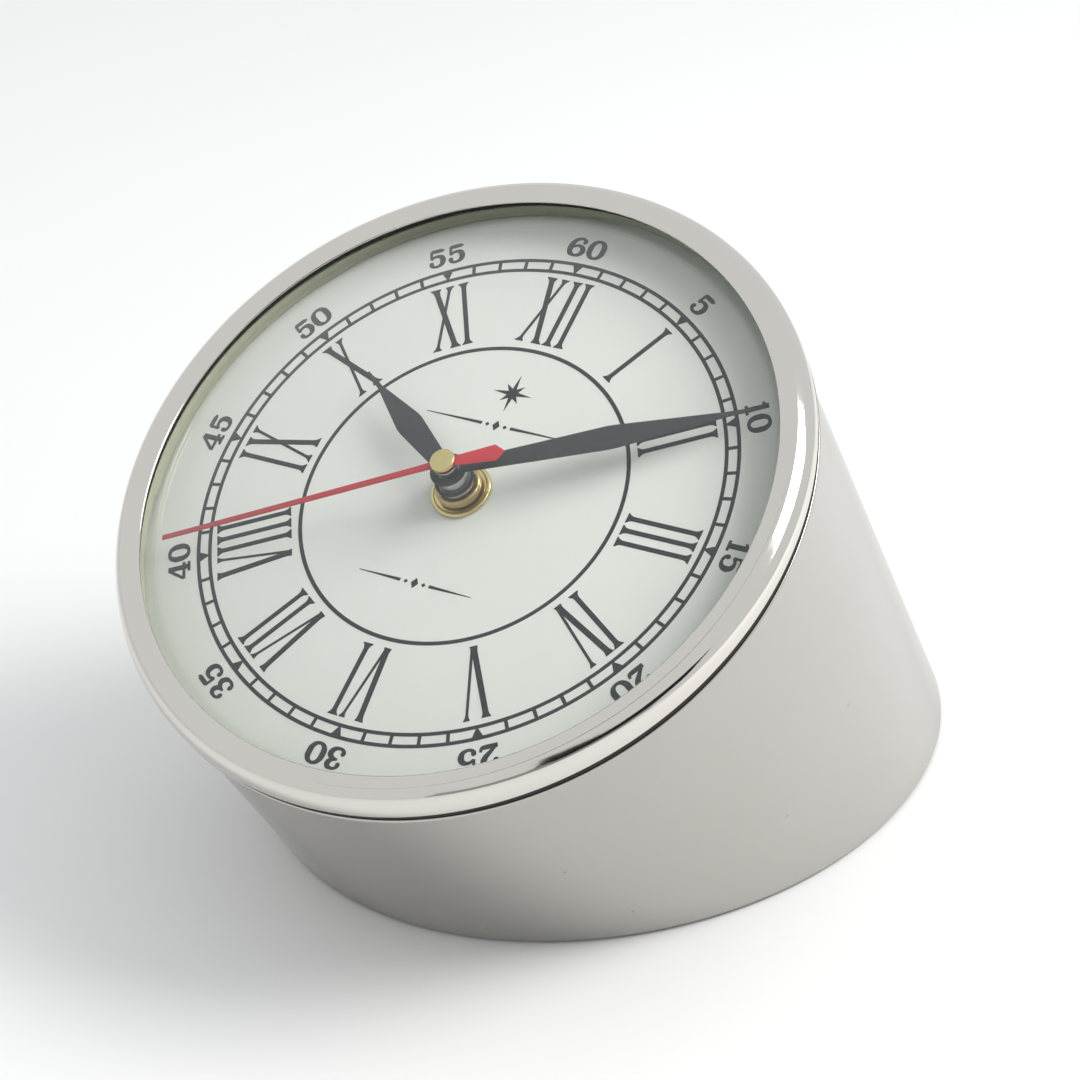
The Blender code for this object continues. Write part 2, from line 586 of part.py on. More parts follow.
# --- gears --------------------------------------------------------------------------------------------
def build_going_train(frame):
    """Wheels that turn with the second hand, from the rotor to the centre wheel."""
    seconds_pinion, third_teeth, module = SECONDS_TO_THIRD
    inter_pinion, seconds_teeth, seconds_module = INTER_TO_SECONDS
    seconds = unite(gear("seconds_wheel", seconds_teeth, seconds_module, SECONDS_WHEEL_Z),
                    gear("pinion", seconds_pinion, module, SECONDS_PINION_Z),
                    rod("arbor", ARBOR_R, *SECONDS_ARBOR_Z))
    place(seconds, "steel", frame)

    third_pinion, center_teeth, center_module = THIRD_TO_CENTER
    phase = meshing_phase(seconds_pinion, 0.0, third_teeth, THIRD_DIRECTION)
    third = unite(gear("third_wheel", third_teeth, module, THIRD_WHEEL_Z, phase),
                  gear("pinion", third_pinion, center_module, THIRD_PINION_Z),
                  rod("arbor", ARBOR_R, *THIRD_ARBOR_Z))
    place(third, "brass", frame, (*THIRD_AT, 0.0))

    phase = meshing_phase(third_pinion, 0.0, center_teeth, THIRD_DIRECTION + math.pi)
    center = gear("center_wheel", center_teeth, center_module, CENTER_WHEEL_Z, phase)
    place(cut(center, rod("bore", CENTER_BORE, *THROUGH, ROUND_STEPS)), "brass", frame)
    place(tube("clutch_spring", *CLUTCH_SPRING), "steel", frame)

    rotor_teeth, inter_teeth, rotor_module = ROTOR_TO_INTER
    phase = meshing_phase(seconds_teeth, 0.0, inter_pinion, INTER_DIRECTION)
    inter = unite(gear("intermediate_wheel", inter_teeth, rotor_module, INTER_WHEEL_Z),
                  gear("pinion", inter_pinion, seconds_module, INTER_PINION_Z, phase),
                  rod("arbor", ARBOR_R, *INTER_ARBOR_Z))
    place(inter, "white_plastic", frame, (*INTER_AT, 0.0))

    phase = meshing_phase(inter_teeth, 0.0, rotor_teeth, ROTOR_DIRECTION)
    rotor = unite(gear("rotor", rotor_teeth, rotor_module, ROTOR_PINION_Z, phase),
                  rod("magnet", *MAGNET, ROUND_STEPS),
                  rod("arbor", ROTOR_ARBOR_R, *INTER_ARBOR_Z))
    place(rotor, "magnet", frame, (*ROTOR_AT, 0.0))


def build_motion_work(frame):
    """Wheels that turn with the minute hand, and the knob that sets it."""
    cannon_teeth, minute_teeth, module = CANNON_TO_MINUTE
    bore, radius = MINUTE_PIPE
    cannon = unite(rod("cannon_pinion", radius, *CANNON_PIPE_Z, PIPE_STEPS),
                   gear("leaves", cannon_teeth, module, CANNON_LEAVES_Z))
    place(cut(cannon, rod("bore", bore, *THROUGH, SHAFT_STEPS)), "steel", frame)

    minute_pinion, hour_teeth, hour_module = MINUTE_TO_HOUR
    minute_phase = meshing_phase(cannon_teeth, 0.0, minute_teeth, MINUTE_DIRECTION)
    minute = unite(gear("minute_wheel", minute_teeth, module, MINUTE_WHEEL_Z, minute_phase),
                   gear("pinion", minute_pinion, hour_module, MINUTE_PINION_Z))
    minute = cut(minute, rod("bore", MINUTE_WHEEL_BORE, *THROUGH, SHAFT_STEPS))
    place(minute, "white_plastic", frame, (*MINUTE_AT, 0.0))

    bore, radius = HOUR_PIPE
    phase = meshing_phase(minute_pinion, 0.0, hour_teeth, MINUTE_DIRECTION + math.pi)
    hour = unite(gear("hour_wheel", hour_teeth, hour_module, HOUR_WHEEL_Z, phase),
                 rod("pipe", radius, *HOUR_PIPE_Z, PIPE_STEPS))
    place(cut(hour, rod("bore", bore, *THROUGH, ROUND_STEPS)), "white_plastic", frame)

    knob_teeth, _, knob_module = KNOB_TO_MINUTE
    phase = meshing_phase(minute_teeth, minute_phase, knob_teeth, KNOB_DIRECTION)
    knob = unite(gear("set_knob", knob_teeth, knob_module, KNOB_PINION_Z, phase),
                 rod("shaft", *KNOB_SHAFT, SHAFT_STEPS),
                 gear("grip", *KNOB_GRIP, KNOB_GRIP_Z))
    place(knob, "black_plastic", frame, (*KNOB_AT, 0.0))


# --- movement --------------------------------------------------------------------------------------------
def build_case(frame):
    """Case with its gear room, battery bay and posts."""
    low, front = CASE_Z
    depth = (low - 1.0, front - CASE_WALL)
    root = depth[1] + POST_ROOT
    case = slab("movement_case", (-CASE_X, CASE_X), CASE_Y, CASE_Z)
    gear_room = slab("gear_room", (-ROOM_X, ROOM_X), (BAY_TOP, CASE_Y[1] - CASE_WALL), depth)
    bay = slab("battery_bay", (-ROOM_X, ROOM_X), (CASE_Y[0] + CASE_WALL, BAY_TOP - CASE_WALL), depth)
    case = cut(case, gear_room, bay)

    coil_places = [(x, COIL_AXIS[0]) for x in STATOR_SCREWS_X]
    posts = [(PLATE_POST, at) for at in PLATE_POSTS] + [(COIL_POST, at) for at in coil_places]
    posts += [(THIRD_POST, THIRD_AT), (MINUTE_POST, MINUTE_AT)]
    tools = [moved(rod("post", radius, end, root), *at) for (radius, end), at in posts]
    tools.append(moved(tube("knob_boss", *KNOB_BOSS, root, SHAFT_STEPS), *KNOB_AT))
    case = unite(case, *tools)

    holes = [moved(rod("screw_hole", SCREW_HOLE_R, *COIL_SCREW_HOLE_Z), *at) for at in coil_places]
    holes.append(rod("bush_hole", BUSH_R + GAP, *BUSH_HOLE_Z, PIPE_STEPS))
    holes.append(moved(rod("third_pivot", ARBOR_R + GAP, *THIRD_PIVOT_Z), *THIRD_AT))
    place(cut(case, *holes), "black_plastic", frame)


def build_plate_and_cover(frame):
    """Middle plate and back cover: both carry the arbors' ends."""
    middle = slab("movement_plate", PLATE_X, PLATE_Y, PLATE_Z)
    openings = (((0.0, 0.0), ARBOR_R + GAP), (THIRD_AT, PLATE_THIRD_R), (INTER_AT, ARBOR_R + GAP),
                (ROTOR_AT, PLATE_ROTOR_R))
    tools = [moved(rod("opening", radius, *THROUGH), *at) for at, radius in openings]
    place(cut(middle, *tools), "white_plastic", frame)

    edge = ROOM_X - GAP
    y = (BAY_TOP + GAP, CASE_Y[1] - CASE_WALL - GAP)
    cover = slab("movement_cover", (-edge, edge), y, (CASE_Z[0], CASE_Z[0] + CASE_WALL))
    pivots = ((0.0, 0.0), THIRD_AT, INTER_AT, ROTOR_AT)
    cover = unite(cover, *[moved(rod("boss", COVER_BOSS_R, *COVER_BOSS_Z), *at) for at in pivots])
    holes = [moved(rod("pivot", ARBOR_R + GAP, *COVER_PIVOT_Z), *at) for at in pivots]
    holes.append(moved(rod("knob_hole", KNOB_HOLE_R, *THROUGH, SHAFT_STEPS), *KNOB_AT))
    place(cut(cover, *holes), "black_plastic", frame)


def around(centre, half):
    """Low and high at half on both sides of a centre."""
    return centre - half, centre + half


def build_motor(frame):
    """Coil with its core and bobbin, and the stator that they are screwed to."""
    y, z = COIL_AXIS
    width, height = CORE_HALF
    land_width, bobbin_height = BOBBIN_HALF
    core = slab("coil_core", CORE_X, around(y, width), around(z, height))
    core = unite(core, *[slab("land", around(x, CORE_LAND_HALF), around(y, land_width),
                              around(z, height)) for x in STATOR_SCREWS_X])
    holes = [moved(rod("hole", SCREW_HOLE_R, *THROUGH), x, y) for x in STATOR_SCREWS_X]
    place(cut(core, *holes), "steel", frame)

    bobbin = slab("coil_bobbin", COIL_X, around(y, land_width), around(z, bobbin_height))
    *ends, radius, half = COIL_FLANGES
    bobbin = unite(bobbin, *[moved(along_x(rod("flange", radius, -half, half, ROUND_STEPS)), x, y, z)
                             for x in ends])
    width, height = BOBBIN_WAY_HALF
    way = slab("way", THROUGH, around(y, width), around(z, height))
    place(cut(bobbin, way), "white_plastic", frame)
    place(moved(along_x(tube("coil_winding", *WINDING)), WINDING_X, y, z), "copper", frame)

    holes = [moved(rod("hole", SCREW_HOLE_R, *THROUGH), x, y) for x in STATOR_SCREWS_X]
    holes.append(moved(rod("rotor_hole", STATOR_BORE_R, *THROUGH, PIPE_STEPS), *ROTOR_AT))
    place(cut(plate("stator", STATOR_OUTLINE, *STATOR_Z), *holes), "steel", frame)
    for number, x in enumerate(STATOR_SCREWS_X, 1):
        screw = turned(f"stator_screw_{number}", STATOR_SCREW, PIN_STEPS)
        place(screw, "steel", frame, (x, y, 0.0))


def build_electrics(frame):
    """Circuit board with its chip and crystal, the battery and its two contacts."""
    place(slab("circuit_board", *CIRCUIT_BOARD), "board_green", frame)
    place(turned("circuit_chip", CHIP, SHAFT_STEPS), "black_plastic", frame, CHIP_AT)
    can = along_x(turned("quartz_crystal", CRYSTAL, SHAFT_STEPS))
    place(moved(can, *CRYSTAL_AT), "steel", frame)

    y, z = BATTERY_YZ
    cell = along_x(turned("battery", BATTERY, PIPE_STEPS))
    place(moved(cell, 0.0, y, z), "battery_jacket", frame)
    width, height = CONTACT_HALF
    face, back = CONTACT_X
    plus = slab("battery_contact_positive", (face, ROOM_X - GAP), around(y, width),
                around(z, height))
    place(plus, "steel", frame)
    minus = slab("battery_contact_negative", (-ROOM_X + GAP, back), around(y, width),
                 around(z, height))
    spring = moved(along_x(turned("cone", SPRING_CONE)), back - OVERLAP, y, z)
    place(unite(minus, spring), "steel", frame)


# --- foot -------------------------------------------------------------------------------------------------
def foot_axis_y(height):
    """World y of the drum's axis at a world height."""
    return DIAL_CENTRE[0] + (DIAL_CENTRE[1] - height) * math.tan(TILT)


def screw_point(angle):
    """World x and y of a base screw: inside the drum's oval, at an angle about its axis."""
    radius = DRUM_R - DRUM_WALL - SCREW_INSET
    turn = math.radians(angle)
    y = radius * math.sin(turn) / math.cos(TILT) + foot_axis_y(BOARD_Z[1])
    return radius * math.cos(turn), y


def build_foot(dial_frame, foot_frame):
    """Board and felt that close the drum, with the screws and lugs that hold them."""
    inside = DRUM_R - DRUM_WALL - GAP
    board = slanted_disc("base_board", inside, *BOARD_Z)
    felt = slanted_disc("base_felt", inside - FELT_INSET, *FELT_Z)
    points = [screw_point(angle) for angle in SCREW_PLACES]
    hole_y = foot_axis_y(BOARD_Z[0]) + HAND_HOLE_SHIFT
    level = Matrix.Rotation(TILT, 4, "X")
    level.translation = Vector((0.0, *DIAL_CENTRE))
    sheets = ((board, "fibreboard", HAND_HOLE_R, SCREW_WAY_R, PIN_STEPS),
              (felt, "felt", HAND_HOLE_R + FELT_INSET, SCREW_HEAD_WAY_R, SHAFT_STEPS))
    for sheet, slot, hole_r, way_r, steps in sheets:
        sheet.data.transform(level)
        tools = [moved(rod("hand_hole", hole_r, *THROUGH, HAND_HOLE_STEPS), 0.0, hole_y)]
        tools += [moved(rod("screw_way", way_r, *THROUGH, steps), *point) for point in points]
        place(cut(sheet, *tools), slot, foot_frame)

    for number, (angle, point) in enumerate(zip(SCREW_PLACES, points), 1):
        build_lug(dial_frame, number, angle, point, level)
        screw = turned(f"base_screw_{number}", BASE_SCREW, SHAFT_STEPS)
        place(screw, "steel", foot_frame, (*point, 0.0))


def build_lug(dial_frame, number, angle, point, level):
    """Angle bracket on the drum's wall: a level tab for the screw and an upright leaf."""
    outer = DRUM_R - DRUM_WALL - GAP
    bore, half_angle, extra = LUG_CORNER
    lug = sector(f"base_lug_{number}", outer - LUG_REACH, outer, angle, LUG_HALF_ANGLE,
                 LUG_Z[0], LUG_TALL)
    corner = sector("corner", bore, outer - LUG_LEAF, angle, half_angle, LUG_Z[1],
                    LUG_TALL + extra)
    way = moved(rod("way", SCREW_WAY_R, *THROUGH), *point)
    way.data.transform(level.inverted())
    place(cut(lug, corner, way), "steel", dial_frame)


def main():
    """Build every piece."""
    clear_scene()
    dial_frame = make_empty("dial_frame", (0.0, *DIAL_CENTRE), TILT)
    foot_frame = make_empty("foot_frame", (0.0, 0.0, 0.0), 0.0)
    for build in (build_drum, build_bezel, build_glass, build_dial, build_hardware, build_hands,
                  build_going_train, build_motion_work, build_case, build_plate_and_cover,
                  build_motor, build_electrics):
        build(dial_frame)
    build_foot(dial_frame, foot_frame)


main()
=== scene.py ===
"""Looks of the mantel clock with a tilted face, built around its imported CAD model.

The drum, bezel, glass, dial print, hands and hardware are turned, cut and stamped here in fine
detail, and every carried-over CAD node is given a procedural finish.

Sizes are in millimetres in the dial frame, whose origin is the centre of the dial's front face,
with +X to 3 o'clock, +Y to 12 o'clock and +Z out of the dial. DialFrame turns them into metres.
"""
from __future__ import annotations

import json
import logging
import math
from collections.abc import Callable, Iterable, Mapping, Sequence
from dataclasses import dataclass, field
from enum import Enum
from typing import Any, NamedTuple

import bmesh
import bpy
from bmesh.types import BMEdge, BMesh, BMFace, BMVert
from mathutils import Matrix, Vector

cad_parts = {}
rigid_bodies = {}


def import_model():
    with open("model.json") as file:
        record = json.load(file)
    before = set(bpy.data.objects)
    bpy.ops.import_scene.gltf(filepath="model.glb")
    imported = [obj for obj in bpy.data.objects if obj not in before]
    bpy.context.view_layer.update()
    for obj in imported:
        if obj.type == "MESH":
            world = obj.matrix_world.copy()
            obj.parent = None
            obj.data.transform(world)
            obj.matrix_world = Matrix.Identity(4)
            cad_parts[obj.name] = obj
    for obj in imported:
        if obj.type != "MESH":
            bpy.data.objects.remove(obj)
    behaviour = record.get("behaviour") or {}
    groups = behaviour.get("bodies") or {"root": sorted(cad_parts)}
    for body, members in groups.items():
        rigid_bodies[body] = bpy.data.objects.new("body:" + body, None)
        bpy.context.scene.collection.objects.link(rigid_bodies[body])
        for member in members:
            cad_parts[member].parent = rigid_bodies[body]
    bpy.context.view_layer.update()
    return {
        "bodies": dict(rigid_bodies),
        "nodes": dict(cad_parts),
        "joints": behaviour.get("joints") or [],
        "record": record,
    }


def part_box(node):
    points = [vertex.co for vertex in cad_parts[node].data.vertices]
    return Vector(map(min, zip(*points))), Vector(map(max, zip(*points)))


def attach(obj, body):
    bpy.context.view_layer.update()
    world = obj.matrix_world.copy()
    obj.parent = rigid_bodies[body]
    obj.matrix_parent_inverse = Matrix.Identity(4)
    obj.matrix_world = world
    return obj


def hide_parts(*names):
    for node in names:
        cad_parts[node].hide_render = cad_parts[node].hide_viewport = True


LOG = logging.getLogger("mantel_clock")
MM = 0.001
FULL_TURN = 2.0 * math.pi
ALONG_LINES = 70.0  # changes to the metre along a turning line
LINE_CLIMB = 0.8  # how fast turning lines pass with height, against radius
METAL_SPECK = (190.0, 0.07)  # cells to the metre, and radius in cells
METAL_SPECK_TONE = (90, 86, 80)
PAINT_SPECK = (110.0, 0.032)
WELD = 1e-4  # vertices nearer than this are one
TURNED_BENDS = 5  # faces across a turned rounding
SMALL_STEPS = 96  # faces round a small turned part
RING_STEPS = 288  # faces round a printed ring
BALL_STEPS = 20  # faces round a ball end
CURVE_STEPS = 6  # faces between two points of a pen stroke
INK_LAYER = 0.004  # how much higher each layer of ink stands
INK_LIFT = 0.002  # gap under the ink
HALVINGS = 30  # rounds of halving that find a crossing
Colour = tuple[float, float, float, float]
Point = tuple[float, float]
Mark = tuple[float, float, float]
Section = tuple[tuple[float, ...], ...]


class Body(str, Enum):
    """The CAD bodies that carry visible pieces of this script."""

    CLOCK = "clock_body"
    HOUR = "hour_hand_set"
    MINUTE = "minute_hand_set"
    SECOND = "second_hand_set"


class Slot(str, Enum):
    """The record's material slots."""

    NICKEL = "nickel"
    GLASS = "glass"
    DIAL = "dial_enamel"
    SPACER = "spacer_paint"
    RUBBER = "black_rubber"
    BRASS = "brass"
    STEEL = "steel"
    CHARCOAL = "hand_charcoal"
    RED = "hand_red"
    BLACK_PLASTIC = "black_plastic"
    WHITE_PLASTIC = "white_plastic"
    MAGNET = "magnet"
    COPPER = "copper"
    BOARD = "board_green"
    BATTERY = "battery_jacket"
    FIBREBOARD = "fibreboard"
    FELT = "felt"


def tone(*display: int) -> Colour:
    """Linear colour from a display colour's red, green and blue, 0 to 255."""
    red, green, blue = (share / 12.92 if share <= 0.04045 else ((share + 0.055) / 1.055) ** 2.4
                        for share in (channel / 255 for channel in display))
    return red, green, blue, 1.0


# Shader maths.
def arithmetic(operation: str, swapped: bool = False) -> Callable[[Wire, Wire | float], Wire]:
    """An operator of Wire, which adds a Math node.

    Args:
        operation: The node's operation.
        swapped: Whether the other operand stands on the left.

    Returns:
        The operator.
    """
    def operator(wire: Wire, other: Wire | float) -> Wire:
        """The operation on a wire and the other operand."""
        first, second = (other, wire) if swapped else (wire, other)
        return wire.graph.node("Math", {0: first, 1: second}, operation=operation)

    return operator


class Wire:
    """An output socket that takes part in arithmetic, on either side of a number."""

    def __init__(self, graph: Graph, socket: bpy.types.NodeSocket) -> None:
        """Keep the graph and the socket."""
        self.graph = graph
        self.socket = socket

    __add__ = arithmetic("ADD")
    __radd__ = arithmetic("ADD", swapped=True)
    __sub__ = arithmetic("SUBTRACT")
    __rsub__ = arithmetic("SUBTRACT", swapped=True)
    __mul__ = arithmetic("MULTIPLY")
    __rmul__ = arithmetic("MULTIPLY", swapped=True)
    __lt__ = arithmetic("LESS_THAN")


class Graph:
    """A node tree that is built from Python expressions."""

    def __init__(self, tree: bpy.types.NodeTree) -> None:
        """Start from an empty tree."""
        tree.nodes.clear()
        self.tree = tree

    def node(self, kind: str, sockets: Mapping[str | int, Any], output: str | int = 0,
             **settings: Any) -> Wire:
        """Make any node.

        Args:
            kind: The node's type, without "ShaderNode".
            sockets: Values or wires for its input sockets, by name or number.
            output: Which output to return.
            settings: The node's own settings, with "stops" for a ramp's (place, colour) pairs.

        Returns:
            The chosen output.
        """
        made = self.tree.nodes.new("ShaderNode" + kind)
        for name, value in settings.items():
            if name == "stops":
                ramp = made.color_ramp
                for element, (place, colour) in zip(ramp.elements, value):
                    element.position, element.color = place, colour
                for place, colour in value[len(ramp.elements):]:
                    ramp.elements.new(place).color = colour
            else:
                setattr(made, name, value)
        for name, value in sockets.items():
            if isinstance(value, Wire):
                self.tree.links.new(value.socket, made.inputs[name])
            else:
                made.inputs[name].default_value = value
        return Wire(self, made.outputs[output])

    def show(self, shader: Wire, kind: str = "OutputMaterial") -> None:
        """Join a finished shader to the tree's output."""
        output = self.tree.nodes.new("ShaderNode" + kind)
        self.tree.links.new(shader.socket, output.inputs["Surface"])

    def mix(self, share: Wire | float, first: Wire | Colour, second: Wire | Colour) -> Wire:
        """A mix of two colours, all of the second where share is one."""
        return self.node("Mix", {0: share, 6: first, 7: second}, 2, data_type="RGBA")

    def noise(self, vector: Wire, scale: float, detail: float = 3.0) -> Wire:
        """Cloudy noise between zero and one."""
        return self.node("TexNoise", {"Vector": vector, "Scale": scale, "Detail": detail,
                                      "Roughness": 0.55})

    def spots(self, vector: Wire, scale: float, radius: float, share: float) -> Wire:
        """Scattered round spots.

        Args:
            vector: Where on the piece.
            scale: Cells per metre.
            radius: A spot's radius, in cells.
            share: Share of the cells that hold a spot.

        Returns:
            One inside a spot and zero elsewhere.
        """
        cell = {"Vector": vector, "Scale": scale}
        near = self.node("TexVoronoi", cell, "Distance") < radius
        pick = self.node("TexVoronoi", cell, "Color")
        chosen = self.node("SeparateColor", {"Color": pick}) < share
        return near * chosen

    def place(self, frame: DialFrame) -> Wire:
        """Position in the dial frame, in metres."""
        spot = self.node("TexCoord", {}, "Object")
        location, rotation = frame.mapping()
        return self.node("Mapping", {"Vector": spot, "Location": location, "Rotation": rotation},
                         vector_type="POINT")

    def turning(self, place: Wire, per_metre: float) -> Wire:
        """Fine lines that run round the dial's axis, as a lathe or a polishing wheel leaves.

        Args:
            place: Position in the dial frame.
            per_metre: How many lines there are to the metre.

        Returns:
            Noise between zero and one, drawn out along the lines.
        """
        parts = [self.node("SeparateXYZ", {"Vector": place}, axis) for axis in "XYZ"]
        flat = self.node("CombineXYZ", {"X": parts[0], "Y": parts[1]})
        radius = self.node("VectorMath", {0: flat}, "Value", operation="LENGTH")
        drawn = self.node("CombineXYZ", {
            "X": parts[0] * ALONG_LINES, "Y": parts[1] * ALONG_LINES,
            "Z": (radius + parts[2] * LINE_CLIMB) * per_metre})
        return self.noise(drawn, 1.0, 2.0)

    def bump(self, height: Wire, depth: float) -> Wire:
        """A normal from a height between zero and one that stands for depth millimetres."""
        return self.node("Bump", {"Height": height, "Distance": depth * MM})


# The dial frame.
@dataclass(frozen=True)
class DialFrame:
    """Where the dial's own axes lie in the row frame.

    Attributes:
        centre: Centre of the dial's front face, in metres.
        outward: The dial's outward direction.
    """

    centre: Vector
    outward: Vector

    @classmethod
    def from_cad(cls, frame: Mapping[str, Any], plate: float = 0.8) -> DialFrame:
        """Find the frame from the second hand's joint and the dial plate's box.

        Args:
            plate: The dial plate's thickness in millimetres.

        Returns:
            The dial frame.
        """
        joint = next(j for j in frame["joints"] if j["name"] == "second_hand_turn")
        outward = -Vector(joint["axis"]).normalized()
        low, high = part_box("dial_plate")
        return cls((low + high) / 2 + outward * (plate / 2 * MM), outward)

    def turn(self) -> Matrix:
        """Rotation from the dial frame to the row frame."""
        across = Vector((1.0, 0.0, 0.0))
        return Matrix((across, self.outward.cross(across), self.outward)).transposed()

    def to_world(self) -> Matrix:
        """Matrix from millimetres in the dial frame to metres in the row frame."""
        return Matrix.Translation(self.centre) @ self.turn().to_4x4() @ Matrix.Scale(MM, 4)

    def mapping(self) -> tuple[Vector, Any]:
        """Location and rotation that take a position in the row frame to the dial frame."""
        back = self.turn().transposed()
        return -(back @ self.centre), back.to_euler()

    def level(self, height: float) -> tuple[Vector, Vector]:
        """Point and upward direction, in the dial frame, of a level plane.

        Args:
            height: The plane's height over the table, in millimetres.

        Returns:
            A point on the plane, in millimetres, and its normal.
        """
        upward = self.turn().transposed() @ Vector((0.0, 0.0, 1.0))
        return Vector((0.0, 0.0, (height - self.centre.z / MM) / upward.z)), upward


# New objects and materials.
def new_object(name: str, bm: BMesh) -> bpy.types.Object:
    """Make an object in the scene.

    Args:
        name: Its name.
        bm: Its shape, which is used up.

    Returns:
        The object.
    """
    mesh = bpy.data.meshes.new(name)
    bm.to_mesh(mesh)
    bm.free()
    made = bpy.data.objects.new(name, mesh)
    bpy.context.collection.objects.link(made)
    return made


def new_material(name: str) -> tuple[bpy.types.Material, Graph]:
    """Make a material.

    Args:
        name: Its name.

    Returns:
        The material and its empty graph.
    """
    made = bpy.data.materials.new(name)
    made.use_nodes = True
    return made, Graph(made.node_tree)


# Finishes.
@dataclass(frozen=True)
class Finish:
    """A surface finish; each kind says what feeds its shader.

    Attributes:
        name: The material's name.
        slot: The record's material slot.
        base: Its main colour.
        rough: Its roughness.
    """

    name: str
    slot: Slot
    base: Colour
    rough: float

    def sockets(self, graph: Graph, place: Wire) -> dict[str, Any]:
        """Values and wires for the Principled shader."""
        raise NotImplementedError

    def material(self, frame: DialFrame) -> bpy.types.Material:
        """The finish as a material, made once.

        Args:
            frame: The dial frame, which patterns follow.

        Returns:
            The material.
        """
        found = bpy.data.materials.get(self.name)
        if found:
            return found
        made, graph = new_material(self.name)
        shader = graph.node("BsdfPrincipled", self.sockets(graph, graph.place(frame)))
        graph.show(self.surface(graph, shader))
        return made

    def surface(self, graph: Graph, shader: Wire) -> Wire:
        """What the output shows; most finishes show their shader as it is."""
        return shader


@dataclass(frozen=True)
class TurnedMetal(Finish):
    """Bare or plated metal with turning lines, light clouding and a few specks.

    Attributes:
        dull: Colour of the clouded patches.
        lines: Turning lines to the metre.
        line_depth: Their depth in millimetres.
        specks: Share of cells that hold a tiny speck.
        cloud: Clouds to the metre.
        rough_swing: How much the roughness varies.
        waves: Depth of the clouds' slow waves, in turning lines.
    """

    dull: Colour = (0.5, 0.5, 0.5, 1.0)
    lines: float = 3000.0
    line_depth: float = 0.002
    specks: float = 0.0
    cloud: float = 30.0
    rough_swing: float = 0.06
    waves: float = 0.0

    def sockets(self, graph: Graph, place: Wire) -> dict[str, Any]:
        """Values and wires for the Principled shader."""
        cloud = graph.noise(place, self.cloud, 4.0)
        lines = graph.turning(place, self.lines)
        colour = graph.mix(cloud * 0.7 + lines * 0.1, self.base, self.dull)
        if self.specks:
            speck = graph.spots(place, *METAL_SPECK, self.specks)
            colour = graph.mix(speck * 0.45, colour, tone(*METAL_SPECK_TONE))
        rough = (lines + cloud) * self.rough_swing + (self.rough - self.rough_swing)
        return {"Base Color": colour, "Metallic": 1.0, "Roughness": rough,
                "Normal": graph.bump(lines + cloud * self.waves, self.line_depth)}


@dataclass(frozen=True)
class Coated(Finish):
    """Paint, lacquer, enamel, plastic or rubber: a tint that wanders, fine grain and specks.

    Attributes:
        second: The tint that the colour wanders to.
        patch: Patches to the metre.
        grain: Grain to the metre.
        grain_depth: Depth of the grain in millimetres.
        specks: Share of cells that hold a dark speck.
        speck_tone: Colour of a speck.
        shine: How strongly the surface mirrors.
    """

    second: Colour = (0.5, 0.5, 0.5, 1.0)
    patch: float = 40.0
    grain: float = 2500.0
    grain_depth: float = 0.01
    specks: float = 0.0
    speck_tone: Colour = (0.03, 0.03, 0.03, 1.0)
    shine: float = 0.5

    def sockets(self, graph: Graph, place: Wire) -> dict[str, Any]:
        """Values and wires for the Principled shader."""
        patch = graph.noise(place, self.patch, 4.0)
        grain = graph.noise(place, self.grain, 3.0)
        colour = graph.mix(patch * 0.75 + grain * 0.25, self.base, self.second)
        if self.specks:
            speck = graph.spots(place, *PAINT_SPECK, self.specks)
            colour = graph.mix(speck * 0.8, colour, self.speck_tone)
        return {"Base Color": colour, "Roughness": grain * 0.12 + (self.rough - 0.06),
                "Specular IOR Level": self.shine,
                "Normal": graph.bump(grain, self.grain_depth)}


@dataclass(frozen=True)
class Fibre(Finish):
    """Felt or fibreboard: matted fibres, drawn out one way, with light and dark strands.

    Attributes:
        strand: Colour of the lighter strands.
        shadow: Colour between the strands.
        scale: Fibres to the metre.
        stretch: How much longer than wide a fibre is.
        depth: Depth of the matting in millimetres.
    """

    strand: Colour = (0.5, 0.5, 0.5, 1.0)
    shadow: Colour = (0.1, 0.1, 0.1, 1.0)
    scale: float = 900.0
    stretch: float = 4.0
    depth: float = 0.2

    def sockets(self, graph: Graph, place: Wire) -> dict[str, Any]:
        """Values and wires for the Principled shader."""
        drawn, crossed = (
            graph.node("Mapping", {"Vector": place, "Scale": scale, "Rotation": rotation},
                       vector_type="POINT")
            for scale, rotation in (((1.0, 1.0 / self.stretch, 1.0), (0.0, 0.0, 0.6)),
                                    ((1.0 / self.stretch, 1.0, 1.0), (0.0, 0.3, 0.0))))
        first, second = graph.noise(drawn, self.scale, 5.0), graph.noise(crossed, self.scale, 5.0)
        mat = first * 0.5 + second * 0.5
        ramp = graph.node("ValToRGB", {"Fac": mat}, stops=(
            (0.34, self.shadow), (0.5, self.base), (0.66, self.strand)))
        return {"Base Color": ramp, "Roughness": mat * 0.1 + (self.rough - 0.05),
                "Specular IOR Level": 0.15, "Normal": graph.bump(mat, self.depth)}


